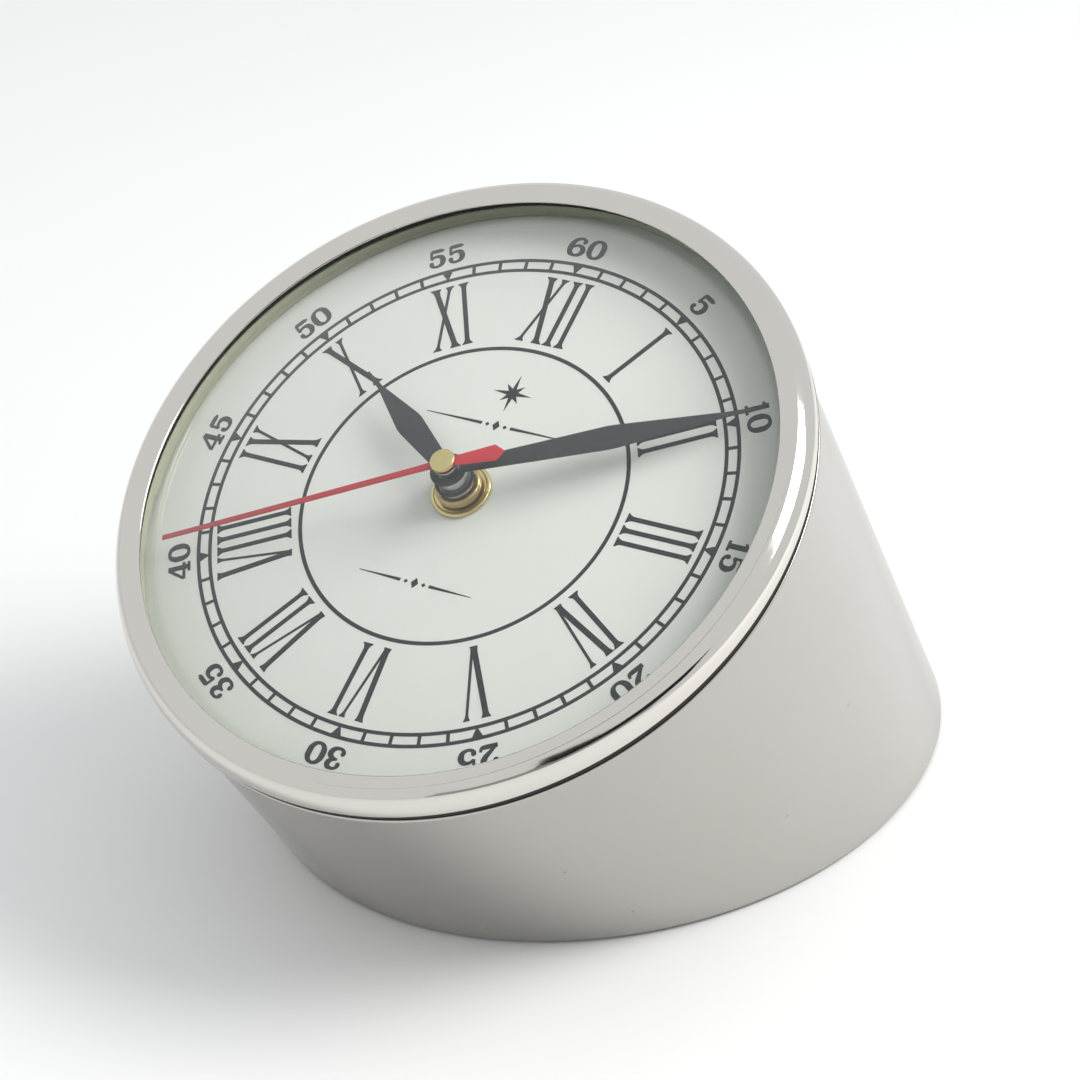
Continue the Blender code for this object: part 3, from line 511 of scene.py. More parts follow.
@dataclass(frozen=True)
class ClearGlass(Finish):
    """Clear glass with a faint tint that deepens to the rim.

    Attributes:
        rim: The tint at the rim.
        reach: Radius of the glass in millimetres.
    """

    rim: Colour = (0.955, 0.965, 0.955, 1.0)
    reach: float = 70.8

    def sockets(self, graph: Graph, place: Wire) -> dict[str, Any]:
        """Values and wires for the Principled shader."""
        length = graph.node("VectorMath", {0: place}, "Value", operation="LENGTH")
        share = length * (1.0 / (self.reach * MM))
        share = share * share
        share = share * share
        haze = graph.noise(place, 60.0, 2.0) * 0.08
        return {"Base Color": graph.mix(share * 0.9 + haze, self.base, self.rim),
                "Roughness": self.rough, "Transmission Weight": 1.0, "IOR": 1.47}

    def surface(self, graph: Graph, shader: Wire) -> Wire:
        """Glass that lets the lamps through to the dial behind it."""
        shadow = graph.node("LightPath", {}, "Is Shadow Ray")
        clear = graph.node("BsdfTransparent", {"Color": (0.975, 0.98, 0.975, 1.0)})
        return graph.node("MixShader", {0: shadow, 1: shader, 2: clear})


INK = tone(26, 29, 33)
NICKEL_DRUM = TurnedMetal(
    "satin_nickel_plate", Slot.NICKEL, (0.512, 0.499, 0.469, 1.0), 0.25,
    dull=(0.468, 0.455, 0.424, 1.0), lines=1500.0, line_depth=0.0012, specks=0.10, cloud=22.0,
    rough_swing=0.035)
NICKEL_BEZEL = TurnedMetal(
    "polished_nickel_plate", Slot.NICKEL, (0.715, 0.690, 0.645, 1.0), 0.085,
    dull=(0.66, 0.635, 0.59, 1.0), lines=4200.0, line_depth=0.0010, specks=0.05, cloud=45.0,
    rough_swing=0.03, waves=120.0)
BRASS_BRIGHT = TurnedMetal(
    "turned_brass", Slot.BRASS, (0.74, 0.63, 0.29, 1.0), 0.26, dull=(0.56, 0.47, 0.20, 1.0),
    lines=9000.0, line_depth=0.004, specks=0.2, cloud=300.0, rough_swing=0.08)
BRASS_DULL = TurnedMetal(
    "aged_brass", Slot.BRASS, (0.58, 0.46, 0.22, 1.0), 0.34, dull=(0.42, 0.30, 0.14, 1.0),
    lines=9000.0, line_depth=0.006, specks=0.3, cloud=300.0, rough_swing=0.1)
STEEL = TurnedMetal(
    "turned_steel", Slot.STEEL, (0.52, 0.52, 0.51, 1.0), 0.30, dull=(0.34, 0.34, 0.34, 1.0),
    lines=8000.0, line_depth=0.005, cloud=260.0, rough_swing=0.08)
COPPER = TurnedMetal(
    "copper_wire", Slot.COPPER, (0.80, 0.42, 0.24, 1.0), 0.30, dull=(0.62, 0.28, 0.13, 1.0),
    lines=6000.0, line_depth=0.02, cloud=400.0)
GLASS = ClearGlass("dome_glass", Slot.GLASS, (0.995, 0.997, 0.995, 1.0), 0.0)
ENAMEL = Coated(
    "dial_enamel_white", Slot.DIAL, tone(225, 229, 223), 0.42, second=tone(216, 220, 214),
    patch=25.0, grain=1800.0, grain_depth=0.004, specks=0.012, speck_tone=tone(70, 66, 58),
    shine=0.35)
PRINT = Coated(
    "dial_print_ink", Slot.CHARCOAL, INK, 0.5, second=tone(36, 40, 45), patch=500.0, grain=5000.0,
    grain_depth=0.004, shine=0.2)
SPACER = Coated(
    "spacer_paint_olive", Slot.SPACER, tone(186, 187, 170), 0.5, second=tone(172, 174, 155),
    patch=120.0, grain=2500.0, grain_depth=0.01, shine=0.35)
CHARCOAL = Coated(
    "hand_lacquer_charcoal", Slot.CHARCOAL, tone(40, 42, 46), 0.46, second=tone(50, 52, 57),
    patch=160.0, grain=3500.0, grain_depth=0.006, shine=0.3)
RED = Coated(
    "hand_lacquer_red", Slot.RED, tone(196, 26, 40), 0.36, second=tone(176, 30, 46), patch=200.0,
    grain=3500.0, grain_depth=0.006, shine=0.5)
RUBBER = Coated(
    "moulded_rubber_black", Slot.RUBBER, tone(34, 33, 33), 0.75, second=tone(48, 46, 45),
    patch=200.0, grain=3000.0, grain_depth=0.03, shine=0.3)
FINISHES: dict[Slot, Finish] = {finish.slot: finish for finish in (
    NICKEL_DRUM, GLASS, ENAMEL, SPACER, RUBBER, BRASS_BRIGHT, STEEL, CHARCOAL, RED, COPPER,
    Coated(
        "moulded_plastic_black", Slot.BLACK_PLASTIC, tone(38, 38, 40), 0.48,
        second=tone(50, 50, 52), grain=2200.0, grain_depth=0.03),
    Coated(
        "moulded_plastic_white", Slot.WHITE_PLASTIC, tone(226, 224, 214), 0.42,
        second=tone(214, 210, 198), grain=2500.0, grain_depth=0.015),
    Coated(
        "sintered_magnet", Slot.MAGNET, tone(74, 72, 72), 0.6, second=tone(92, 88, 86), patch=600.0,
        grain=6000.0, grain_depth=0.03, specks=0.3),
    Coated(
        "circuit_board_green", Slot.BOARD, tone(24, 104, 62), 0.4, second=tone(34, 122, 74),
        patch=350.0, grain=2600.0, grain_depth=0.015),
    Coated(
        "battery_jacket_blue", Slot.BATTERY, tone(46, 62, 92), 0.34, second=tone(58, 76, 108),
        patch=90.0, grain=2400.0, grain_depth=0.008),
    Fibre(
        "pressed_fibreboard", Slot.FIBREBOARD, tone(156, 122, 84), 0.8, strand=tone(188, 156, 112),
        shadow=tone(110, 80, 52), scale=700.0, stretch=3.0, depth=0.12),
    Fibre(
        "pressed_felt_green", Slot.FELT, tone(40, 74, 56), 0.95, strand=tone(66, 104, 82),
        shadow=tone(20, 42, 31), scale=1100.0, stretch=5.0, depth=0.35))}


# Workbench: shapes that several pieces share.
class Corner(NamedTuple):
    """A corner of a turned outline, in millimetres, and how far it is rounded."""

    radius: float
    height: float
    rounding: float = 0.0


@dataclass
class Workbench:
    """Makes pieces in the dial frame and hands them over to the CAD bodies.

    Attributes:
        frame: The dial frame.
        made: How many pieces were handed over.
    """

    frame: DialFrame
    made: int = 0

    def turned(self, section: Sequence[Sequence[float]], steps: int) -> BMesh:
        """Turn a closed outline about the dial's axis.

        Args:
            section: The outline's corners, in order; one on the axis has radius 0.
            steps: How many faces go round.

        Returns:
            The closed solid.
        """
        bm = bmesh.new()
        corners = [Corner(*corner) for corner in section]
        verts = [bm.verts.new((c.radius, 0.0, c.height)) for c in corners]
        for first, second in zip(verts, verts[1:] + verts[:1]):
            if first.co.x > 0.0 or second.co.x > 0.0:
                bm.edges.new((first, second))
        for rounding in sorted({c.rounding for c in corners if c.rounding}):
            soft = [v for v, c in zip(verts, corners) if c.rounding == rounding]
            bmesh.ops.bevel(bm, geom=soft, offset=rounding, offset_type="OFFSET",
                            segments=TURNED_BENDS, profile=0.5, affect="VERTICES", material=-1)
        bmesh.ops.spin(bm, geom=list(bm.verts) + list(bm.edges), axis=(0, 0, 1), cent=(0, 0, 0),
                       steps=steps, angle=FULL_TURN, use_merge=True)
        bmesh.ops.remove_doubles(bm, verts=bm.verts, dist=WELD)
        bmesh.ops.recalc_face_normals(bm, faces=bm.faces)
        return bm

    def stamped(self, outlines: Iterable[Sequence[Point]], thick: float,
                edge: float) -> BMesh:
        """Stamp a flat part with rolled edges out of sheet.

        Args:
            outlines: The outer outline, then any holes, as (x, y) points.
            thick: Thickness of the sheet; the part's underside is at height 0.
            edge: How far the edges are rolled.

        Returns:
            The closed part.
        """
        curve = bpy.data.curves.new("stamping", "CURVE")
        curve.dimensions, curve.fill_mode = "2D", "BOTH"
        curve.extrude, curve.bevel_depth, curve.bevel_resolution = thick / 2 - edge, edge, 2
        curve.offset = -edge
        for outline in outlines:
            spline = curve.splines.new("POLY")
            spline.points.add(len(outline) - 1)
            for point, (x, y) in zip(spline.points, outline):
                point.co = (x, y, 0.0, 1.0)
            spline.use_cyclic_u = True
        holder = bpy.data.objects.new("stamping", curve)
        bpy.context.collection.objects.link(holder)
        bpy.context.view_layer.update()
        ready = holder.evaluated_get(bpy.context.evaluated_depsgraph_get())
        mesh = bpy.data.meshes.new_from_object(ready)
        bpy.data.objects.remove(holder, do_unlink=True)
        bpy.data.curves.remove(curve)
        bm = bmesh.new()
        bm.from_mesh(mesh)
        bpy.data.meshes.remove(mesh)
        bmesh.ops.translate(bm, verts=bm.verts, vec=(0.0, 0.0, thick / 2))
        bmesh.ops.remove_doubles(bm, verts=bm.verts, dist=WELD)
        bmesh.ops.recalc_face_normals(bm, faces=bm.faces)
        return bm

    def hand_over(self, name: str, bm: BMesh, finish: Finish, body: Body,
                  stands_for: Sequence[str] = (), sharp: float = 35.0) -> bpy.types.Object:
        """Place a piece, dress it and let it ride on its body.

        Args:
            name: The piece's name.
            bm: Its shape in millimetres in the dial frame; it is used up.
            finish: Its finish.
            body: The CAD body that it rides on.
            stands_for: CAD nodes that it replaces.
            sharp: Edges that turn more than this many degrees stay sharp.

        Returns:
            The piece.
        """
        bmesh.ops.transform(bm, matrix=self.frame.to_world(), verts=bm.verts)
        piece = new_object(name, bm)
        mesh = piece.data
        mesh.shade_smooth()
        mesh.set_sharp_from_angle(angle=math.radians(sharp))
        mesh.materials.append(finish.material(self.frame))
        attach(piece, body.value)
        if stands_for:
            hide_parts(*stands_for)
        self.made += 1
        LOG.info("%s: %d faces on %s", name, len(mesh.polygons), body.value)
        return piece


# Case: drum, bezel, seals and glass.
@dataclass
class Drum:
    """The nickel-plated drum, with a rolled upper rim and a slanted foot.

    Attributes:
        radius: Outer radius.
        wall: Wall thickness.
        rim: The rolled rim's section, up to its top.
        foot: World height of its lower edge.
        steps: How many faces go round.
        roll: Rounding of its edges.
    """

    radius: float = 73.8
    wall: float = 1.2
    rim: Section = ((73.8, 0.0, 0.25), (74.9, 0.6, 0.25),
                               (74.9, 1.1, 0.15), (74.7, 1.4, 0.1))
    foot: float = 0.8
    steps: int = 320
    roll: float = 0.35

    def build(self, bench: Workbench) -> None:
        """Turn a long tube, cut it level with the table and close the cut."""
        inner, deep = self.radius - self.wall, -240.0
        bm = bench.turned(((self.radius, deep), *self.rim,
                           (inner, self.rim[-1][1], 0.1), (inner, deep)), self.steps)
        point, upward = bench.frame.level(self.foot)
        cut = bmesh.ops.bisect_plane(bm, geom=list(bm.verts) + list(bm.edges) + list(bm.faces),
                                     dist=1e-6, plane_co=point, plane_no=upward, clear_inner=True)
        rim = [item for item in cut["geom_cut"] if isinstance(item, BMEdge)]
        bmesh.ops.bridge_loops(bm, edges=rim)
        bmesh.ops.bevel(bm, geom=rim, offset=self.roll, offset_type="OFFSET", segments=3,
                        profile=0.5, affect="EDGES", material=-1)
        bmesh.ops.recalc_face_normals(bm, faces=bm.faces)
        bench.hand_over("drum_shell", bm, NICKEL_DRUM, Body.CLOCK, ["drum_body"])


@dataclass
class Bezel:
    """The turned bezel and the seals that it holds.

    Attributes:
        steps: How many faces go round.
        outline: The bezel's section.
    """

    steps: int = 320
    outline: Section = (
        (68.7, 7.0, 0.1), (68.35, 7.4, 0.15), (68.35, 7.75, 0.15),
        (68.7, 8.0, 0.15), (71.4, 8.55, 0.12), (71.8, 8.8, 0.18),
        (72.2, 8.7, 0.18), (73.6, 7.7, 0.5), (74.6, 6.2, 0.7),
        (75.0, 4.6, 0.55), (75.0, 3.4, 0.15), (74.7, 3.0, 0.1),
        (72.3, 3.0), (72.3, -7.0, 0.2), (71.1, -7.0, 0.2), (71.1, 7.0))

    def build(self, bench: Workbench) -> None:
        """Turn the bezel, the dark seal under it, the glass's gasket and the spacer; the seal's
        black band fills the gap under the bezel as painted shade.
        """
        bench.hand_over("bezel", bench.turned(self.outline, self.steps), NICKEL_BEZEL,
                        Body.CLOCK, ["bezel_ring"], sharp=40.0)
        rings = (
            # The dark rubber seal is a real part, but its exposed black band also stands in for the
            # shade in the gap between bezel and drum: painted shade.
            ("bezel_seal_painted_gap_shade", "bezel_seal", RUBBER, (72.6, 74.6, 1.7, 2.7)),
            ("glass_seal", "glass_gasket", RUBBER, (69.3, 70.8, 5.3, 6.7)),
            ("spacer_wall", "dial_spacer_ring", SPACER, (69.9, 70.8, 0.3, 3.7)))
        for name, node, finish, (inner, outer, low, high) in rings:
            roll = 0.1
            bm = bench.turned(((outer, high, roll), (outer, low, roll),
                               (inner, low, roll), (inner, high, roll)), self.steps)
            bench.hand_over(name, bm, finish, Body.CLOCK, [node])


@dataclass
class DomeGlass:
    """The domed glass with its flat rim.

    Attributes:
        rim: Radius, lower and upper height of the flat rim.
        chord: Radius at which the outer face starts to rise.
        step_in: How much smaller the inner face's chord is.
        rise: Height of the dome over the rim.
        rings: Faces from the rim to the crest.
        steps: How many faces go round.
    """

    rim: tuple[float, float, float] = (70.8, 4.0, 5.0)
    chord: float = 69.2
    step_in: float = 0.5
    rise: float = 14.0
    rings: int = 40
    steps: int = 240

    def arc(self, chord: float, base: float) -> list[Point]:
        """Points of a spherical cap's section from its rim up to the axis.

        Args:
            chord: Radius of the cap at its foot.
            base: Height of its foot.

        Returns:
            The arc, which ends on the axis.
        """
        sphere = (chord ** 2 + self.rise ** 2) / (2 * self.rise)
        half = math.asin(chord / sphere)
        turns = [half * (1 - i / self.rings) for i in range(self.rings + 1)]
        arc = [(sphere * math.sin(a), base + self.rise - sphere * (1 - math.cos(a)))
               for a in turns[:-1]]
        return arc + [(0.0, base + self.rise)]

    def build(self, bench: Workbench) -> None:
        """Turn the glass as one closed shell."""
        radius, low, high = self.rim
        outside, inside = self.arc(self.chord, high), self.arc(self.chord - self.step_in, low)
        corners = [(radius, low, 0.15), (radius, high, 0.15), *outside, *inside[::-1]]
        bench.hand_over("domed_glass", bench.turned(corners, self.steps), GLASS, Body.CLOCK,
                        ["glass_dome"], sharp=50.0)


# Dial print.
class Stem(NamedTuple):
    """A stem of a Roman numeral.

    Attributes:
        outer: Place across the numeral at its outer end.
        inner: Place across the numeral at its inner end.
        half: Half width.
        outer_serif: Half width of the serif at the outer end, or 0.
        inner_serif: Half width of the serif at the inner end, or 0.
    """

    outer: float
    inner: float
    half: float
    outer_serif: float
    inner_serif: float


ROMAN: dict[str, tuple[float, tuple[Stem, ...]]] = {
    "I": (1.17, (Stem(0.0, 0.0, 0.53, 1.17, 1.17),)),
    "V": (3.0, (Stem(-2.05, -0.36, 0.62, 0.97, 0.85), Stem(2.05, -0.10, 0.30, 0.72, 0.0))),
    "X": (3.2, (Stem(-1.62, 2.05, 0.62, 1.2, 1.2), Stem(1.70, -2.1, 0.34, 0.95, 0.98))),
}
HOURS = ("XII", "I", "II", "III", "IV", "V", "VI", "VII", "VIII", "IX", "X", "XI")

# Numerals of the minute ring, in hundredths of their height: width, then strokes of
# (across, up, half width).
FIGURES: dict[str, tuple[float, tuple[tuple[Mark, ...], ...]]] = {
    "1": (60, (((10, 76, 3), (24, 84, 4.5), (34, 97, 5)), ((34, 100, 10.5), (34, 0, 10.5)),
        ((10, 4.5, 4.5), (58, 4.5, 4.5)))),
    "2": (84, (((17, 72, 10), (15, 82, 7), (27, 93, 5.5), (44, 94.5, 5.5), (62, 88, 8.5),
        (69, 72, 11.5), (60, 53, 10), (38, 32, 7), (14, 10, 5)), ((6, 8.5, 8.5), (60, 8.5, 8.5),
        (74, 11, 6), (79, 27, 3.5)))),
    "3": (82, (((16, 74, 9.5), (16, 83, 6.5), (28, 93.5, 5), (42, 94.8, 5.2), (58, 90, 8.5),
        (64, 76, 11), (56, 61, 8.5), (38, 54.5, 4.5), (28, 54, 4)), ((34, 54.5, 4), (52, 51, 7),
        (67, 40, 10.5), (69, 27, 11.5), (60, 12, 9), (42, 5.2, 5.2), (24, 7.5, 5.5), (14, 17, 7),
        (14.5, 25, 9.5)))),
    "4": (90, (((60, 99, 5), (6, 31, 5)), ((2, 28.5, 5), (88, 28.5, 5)), ((63, 100, 10.5),
        (63, 0, 10.5)), ((38, 4.5, 4.5), (87, 4.5, 4.5)))),
    "5": (82, (((17, 92, 8), (66, 92, 8), (72, 96, 4)), ((18, 96, 5), (15.5, 50, 4.2)),
        ((15.5, 50, 3.5), (28, 60, 5), (44, 62.5, 5.8), (62, 55, 9.5), (69, 35, 11.5),
        (61, 14, 9), (42, 5.2, 5.2), (24, 7.5, 5.5), (14, 17, 7), (14.5, 25, 9.5)))),
    "6": (88, (((70, 78, 9.5), (70, 87, 6), (56, 94.5, 5), (42, 93.5, 5.5), (24, 83, 8.5),
        (12.5, 60, 11), (12, 36, 11.5), (20, 15, 9.5), (44, 5.2, 5.2), (66, 13, 8.5),
        (75.5, 31, 11), (67, 50, 8.5), (46, 57.5, 5), (26, 50, 4.5), (17, 40, 4)),)),
    "0": (86, (((43, 94.8, 5.2), (23, 87, 8), (12.5, 68, 11), (11.5, 50, 11.5), (12.5, 32, 11),
        (23, 13, 8), (43, 5.2, 5.2), (63, 13, 8), (73.5, 32, 11), (74.5, 50, 11.5),
        (73.5, 68, 11), (63, 87, 8), (43, 94.8, 5.2)),)),
}


@dataclass
class Pen:
    """Lays thin raised ink on the dial.

    Attributes:
        ink: Thickness of the ink.
        turn: Clockwise angle from 12 o'clock at which it prints, in radians.
        layer: Later layers stand a touch higher, so that strokes cross cleanly.
        bm: The print so far.
    """

    ink: float
    turn: float = 0.0
    layer: int = 0
    bm: BMesh = field(default_factory=bmesh.new)

    def lay(self, verts: Sequence[BMVert], faces: Sequence[BMFace],
            at: Point = (0.0, 0.0)) -> None:
        """Give flat faces their thickness of ink and their place.

        Args:
            verts: The faces' vertices.
            faces: The faces.
            at: Where their origin goes, before it is turned.
        """
        grown = bmesh.ops.extrude_face_region(self.bm, geom=faces)["geom"]
        top = [item for item in grown if isinstance(item, BMVert)]
        height = self.ink + INK_LAYER * self.layer
        bmesh.ops.translate(self.bm, verts=top, vec=(0.0, 0.0, height))
        both = list(verts) + top
        bmesh.ops.translate(self.bm, verts=both, vec=(*at, 0.0))
        bmesh.ops.rotate(self.bm, verts=both, cent=(0, 0, 0),
                         matrix=Matrix.Rotation(-self.turn, 3, "Z"))

    def ribbon(self, left: Sequence[Point], right: Sequence[Point], closed: bool = False) -> None:
        """Lay ink between two lines of points.

        Args:
            left: One side's points.
            right: The other side's points.
            closed: Whether the ribbon runs into its own start.
        """
        sides = [[self.bm.verts.new((x, y, 0.0)) for x, y in side] for side in (left, right)]
        rungs = list(zip(*sides))
        pairs = list(zip(rungs, rungs[1:])) + ([(rungs[-1], rungs[0])] if closed else [])
        faces = [self.bm.faces.new((a, b, d, c)) for (a, b), (c, d) in pairs]
        self.lay(sides[0] + sides[1], faces)

    def stroke(self, points: Sequence[Mark]) -> None:
        """Print a pen stroke whose width changes along it.

        Args:
            points: (x, y, half width) along its centre line; it closes if the ends meet.
        """
        closed = points[0] == points[-1] and len(points) > 2
        line = [Vector(p) for p in (points[:-1] if closed else points)]
        smooth: list[Vector] = []
        count, between = len(line), CURVE_STEPS if len(line) > 2 else 1

        def pick(chain: Sequence[Vector], i: int) -> Vector:
            """A point of the chain, which wraps round or stops at its ends."""
            return chain[i % len(chain) if closed else min(max(i, 0), len(chain) - 1)]

        for i in range(count if closed else count - 1):
            a, b, c, d = (pick(line, i + k) for k in (-1, 0, 1, 2))
            for step in range(between):
                t = step / between
                smooth.append(0.5 * (2 * b + (c - a) * t + (2 * a - 5 * b + 4 * c - d) * t * t
                                     + (3 * b - a - 3 * c + d) * t ** 3))
        if not closed:
            smooth.append(line[-1])
        left, right = [], []
        for i, here in enumerate(smooth):
            ahead = pick(smooth, i + 1) - pick(smooth, i - 1)
            aside = Vector((-ahead.y, ahead.x)).normalized() * here.z
            left.append((here.x + aside.x, here.y + aside.y))
            right.append((here.x - aside.x, here.y - aside.y))
        self.ribbon(left, right, closed)

    def shape(self, at: Point, reaches: Sequence[Point]) -> None:
        """Print a filled shape whose corners stand round its centre, from 12 o'clock.

        Args:
            at: Its centre.
            reaches: How far each corner reaches across and up.
        """
        verts = bmesh.ops.create_circle(self.bm, segments=len(reaches), radius=1.0,
                                        cap_ends=True)["verts"]
        for vert, (across, upward) in zip(verts, reaches):
            vert.co.x, vert.co.y = vert.co.x * across, vert.co.y * upward
        self.lay(verts, [verts[0].link_faces[0]], at)

    def done(self) -> BMesh:
        """The print, lifted clear of the dial's face and with its faces turned outwards."""
        bmesh.ops.translate(self.bm, verts=self.bm.verts, vec=(0.0, 0.0, INK_LIFT))
        bmesh.ops.recalc_face_normals(self.bm, faces=self.bm.faces)
        return self.bm


@dataclass
class DialPrint:
    """Everything printed on the dial.

    Attributes:
        ink: Thickness of the ink.
        track: Inner and outer radius of the two lines of the minute track.
        circle: Inner and outer radius of the line inside the hour numerals.
        tick: Half width of a minute tick.
        tick_overlap: How far a tick runs into the track's lines.
        marker: Half widths of a five-minute marker, at its base and at its point.
        hour_reach: Inner and outer radius of the hour numerals.
        serif: Thickness of a serif and length of its bracket.
        bracket_bends: Faces along a bracket.
        bracket_curve: How quickly a bracket narrows.
        figure_reach: Inner and outer radius of the minute numerals.
        figure_gap: Gap between two figures, in hundredths of their height.
        weight: Added to the half width of every stroke of a minute numeral, likewise.
        ball: Size of a stroke's ball end, against the stroke's half width there.
        ball_from: Half width from which an end is drawn out into a ball, likewise.
        apart: Distance between neighbouring strokes of an hour numeral, beyond their widths.
        rules: Height, reach and half width of each rule of the ornament.
        rule_start: Where a rule starts, to either side.
        rule_tip: Half width of a rule at its tip.
        beads: How far the small lozenges stand to either side, and their half size.
        lozenge: Half width and height of the lozenge between two rules.
        star: Height of the star, and reach of its long, short and inner corners.
    """

    ink: float = 0.035
    track: tuple[Point, Point] = ((55.25, 56.05), (57.8, 58.6))
    circle: Point = (35.02, 35.88)
    tick: float = 0.38
    tick_overlap: float = 0.05
    marker: Point = (1.15, 0.22)
    hour_reach: Point = (37.35, 53.95)
    serif: Point = (0.2, 1.5)
    bracket_bends: int = 5
    bracket_curve: float = 2.6
    figure_reach: Point = (60.1, 64.95)
    figure_gap: float = 9.0
    weight: float = 2.0
    ball: float = 1.12
    ball_from: float = 9.0
    apart: dict[str, float] = field(default_factory=lambda: {
        "II": 0.48, "VI": 0.08, "IV": 0.1, "XI": 0.32, "IX": 0.32})
    rules: tuple[Mark, Mark] = ((16.5, 17.0, 0.36), (-22.3, 13.4, 0.36))
    rule_start: float = 3.4
    rule_tip: float = 0.07
    beads: Point = (2.1, 0.5)
    lozenge: Point = (0.85, 1.25)
    star: tuple[float, float, float, float] = (24.6, 4.6, 3.0, 1.25)

    def stem(self, pen: Pen, stem: Stem, shift: float) -> None:
        """Print one stem of a Roman numeral, with its bracketed serifs.

        Args:
            pen: What prints it.
            stem: The stem.
            shift: Where its letter stands across the numeral.
        """
        low, high = self.hour_reach
        flat, bracket = self.serif
        marks: list[Point] = []
        for serif, from_outer in ((stem.inner_serif, False), (stem.outer_serif, True)):
            end = [(0.0, serif or stem.half), (flat, serif or stem.half)]
            for i in range(1, self.bracket_bends + 1):
                share = i / self.bracket_bends
                wide = (serif - stem.half) * (1 - share) ** self.bracket_curve if serif else 0.0
                end.append((flat + bracket * share, stem.half + wide))
            marks += [(high - low - y, h) for y, h in end[::-1]] if from_outer else end
        left, right = [], []
        for along, half in marks:
            middle = shift + stem.inner + (stem.outer - stem.inner) * along / (high - low)
            left.append((middle - half, low + along))
            right.append((middle + half, low + along))
        pen.ribbon(left, right)

    def hour(self, pen: Pen, numeral: str) -> None:
        """Print one Roman numeral, its top outwards.

        Args:
            pen: What prints it.
            numeral: Its letters.
        """
        places = [ROMAN[numeral[0]][0]]
        for before, after in zip(numeral, numeral[1:]):
            places.append(places[-1] + ROMAN[before][0] + ROMAN[after][0]
                          + self.apart[before + after])
        middle = (places[-1] + ROMAN[numeral[-1]][0]) / 2
        for letter, place in zip(numeral, places):
            for layer, stem in enumerate(ROMAN[letter][1]):
                pen.layer = layer
                self.stem(pen, stem, place - middle)

    def minutes(self, pen: Pen, label: str) -> None:
        """Print one numeral of the minute ring, its top outwards.

        Args:
            pen: What prints it.
            label: Its figures.
        """
        low, high = self.figure_reach
        unit = (high - low) / 100
        start = -(sum(FIGURES[f][0] for f in label) + self.figure_gap * (len(label) - 1)) / 2
        pen.layer = 0
        for figure in label:
            wide, strokes = FIGURES[figure]
            for stroke in strokes:
                pen.stroke([((start + x) * unit, low + y * unit, (h + self.weight) * unit)
                            for x, y, h in stroke])
                pen.layer += 1
            for x, y, half in self.ball_ends(strokes):
                reach = half * self.ball * unit
                pen.shape(((start + x) * unit, low + y * unit), [(reach, reach)] * BALL_STEPS)
                pen.layer += 1
            start += wide + self.figure_gap

    def ball_ends(self, strokes: Iterable[Sequence[Mark]]) -> list[Mark]:
        """Ends of strokes that are drawn out into a ball: those that end fat on a curve."""
        ends = [end for s in strokes if len(s) > 4 and s[0] != s[-1] for end in (s[0], s[-1])]
        return [end for end in ends if end[2] > self.ball_from]

    def ornament(self) -> BMesh:
        """A plain star and two tapered rules, where a maker would sign the dial."""
        pen = Pen(self.ink)
        aside, small = self.beads
        for height, reach, half in self.rules:
            for side in (-1.0, 1.0):
                pen.stroke(((side * self.rule_start, height, half),
                            (side * reach, height, self.rule_tip)))
                pen.shape((side * aside, height), [(small, small)] * 4)
            pen.shape((0.0, height), [self.lozenge] * 4)
        height, long, short, waist = self.star
        pen.shape((0.0, height), [(r, r) for r in (long, waist, short, waist) * 4])
        return pen.done()

    def build(self, bench: Workbench) -> None:
        """Print the track, the circle, the numerals and the ornament."""
        ticks, hours, minutes = Pen(self.ink, layer=1), Pen(self.ink), Pen(self.ink)
        low, high = self.track[0][1] - self.tick_overlap, self.track[1][0] + self.tick_overlap
        for minute in range(60):
            ticks.turn = minute * FULL_TURN / 60
            base, point = self.marker if minute % 5 == 0 else (self.tick, self.tick)
            ticks.ribbon([(-point, low), (-base, high)], [(point, low), (base, high)])
        for place, numeral in enumerate(HOURS):
            hours.turn = minutes.turn = place * FULL_TURN / 12
            self.hour(hours, numeral)
            self.minutes(minutes, str(5 * place or 60))
        prints = {"minute_ticks": ticks.done()}
        for name, (inner, outer) in (("track_inner_line", self.track[0]),
                                     ("track_outer_line", self.track[1]),
                                     ("chapter_circle", self.circle)):
            section = ((outer, self.ink), (outer, 0.0), (inner, 0.0), (inner, self.ink))
            prints[name] = Pen(self.ink, bm=bench.turned(section, RING_STEPS)).done()
        prints |= {"hour_numerals": hours.done(), "minute_numerals": minutes.done(),
                   "dial_ornament": self.ornament()}
        for name, bm in prints.items():
            bench.hand_over(name, bm, PRINT, Body.CLOCK)


# Hands and hardware.
@dataclass(frozen=True)
class AxisPart:
    """What every part on the dial's axis has.

    Attributes:
        name: The piece's name.
        node: The CAD node that it stands for.
        body: The body that it rides on.
        finish: Its finish.
    """

    name: str
    node: str
    body: Body
    finish: Finish


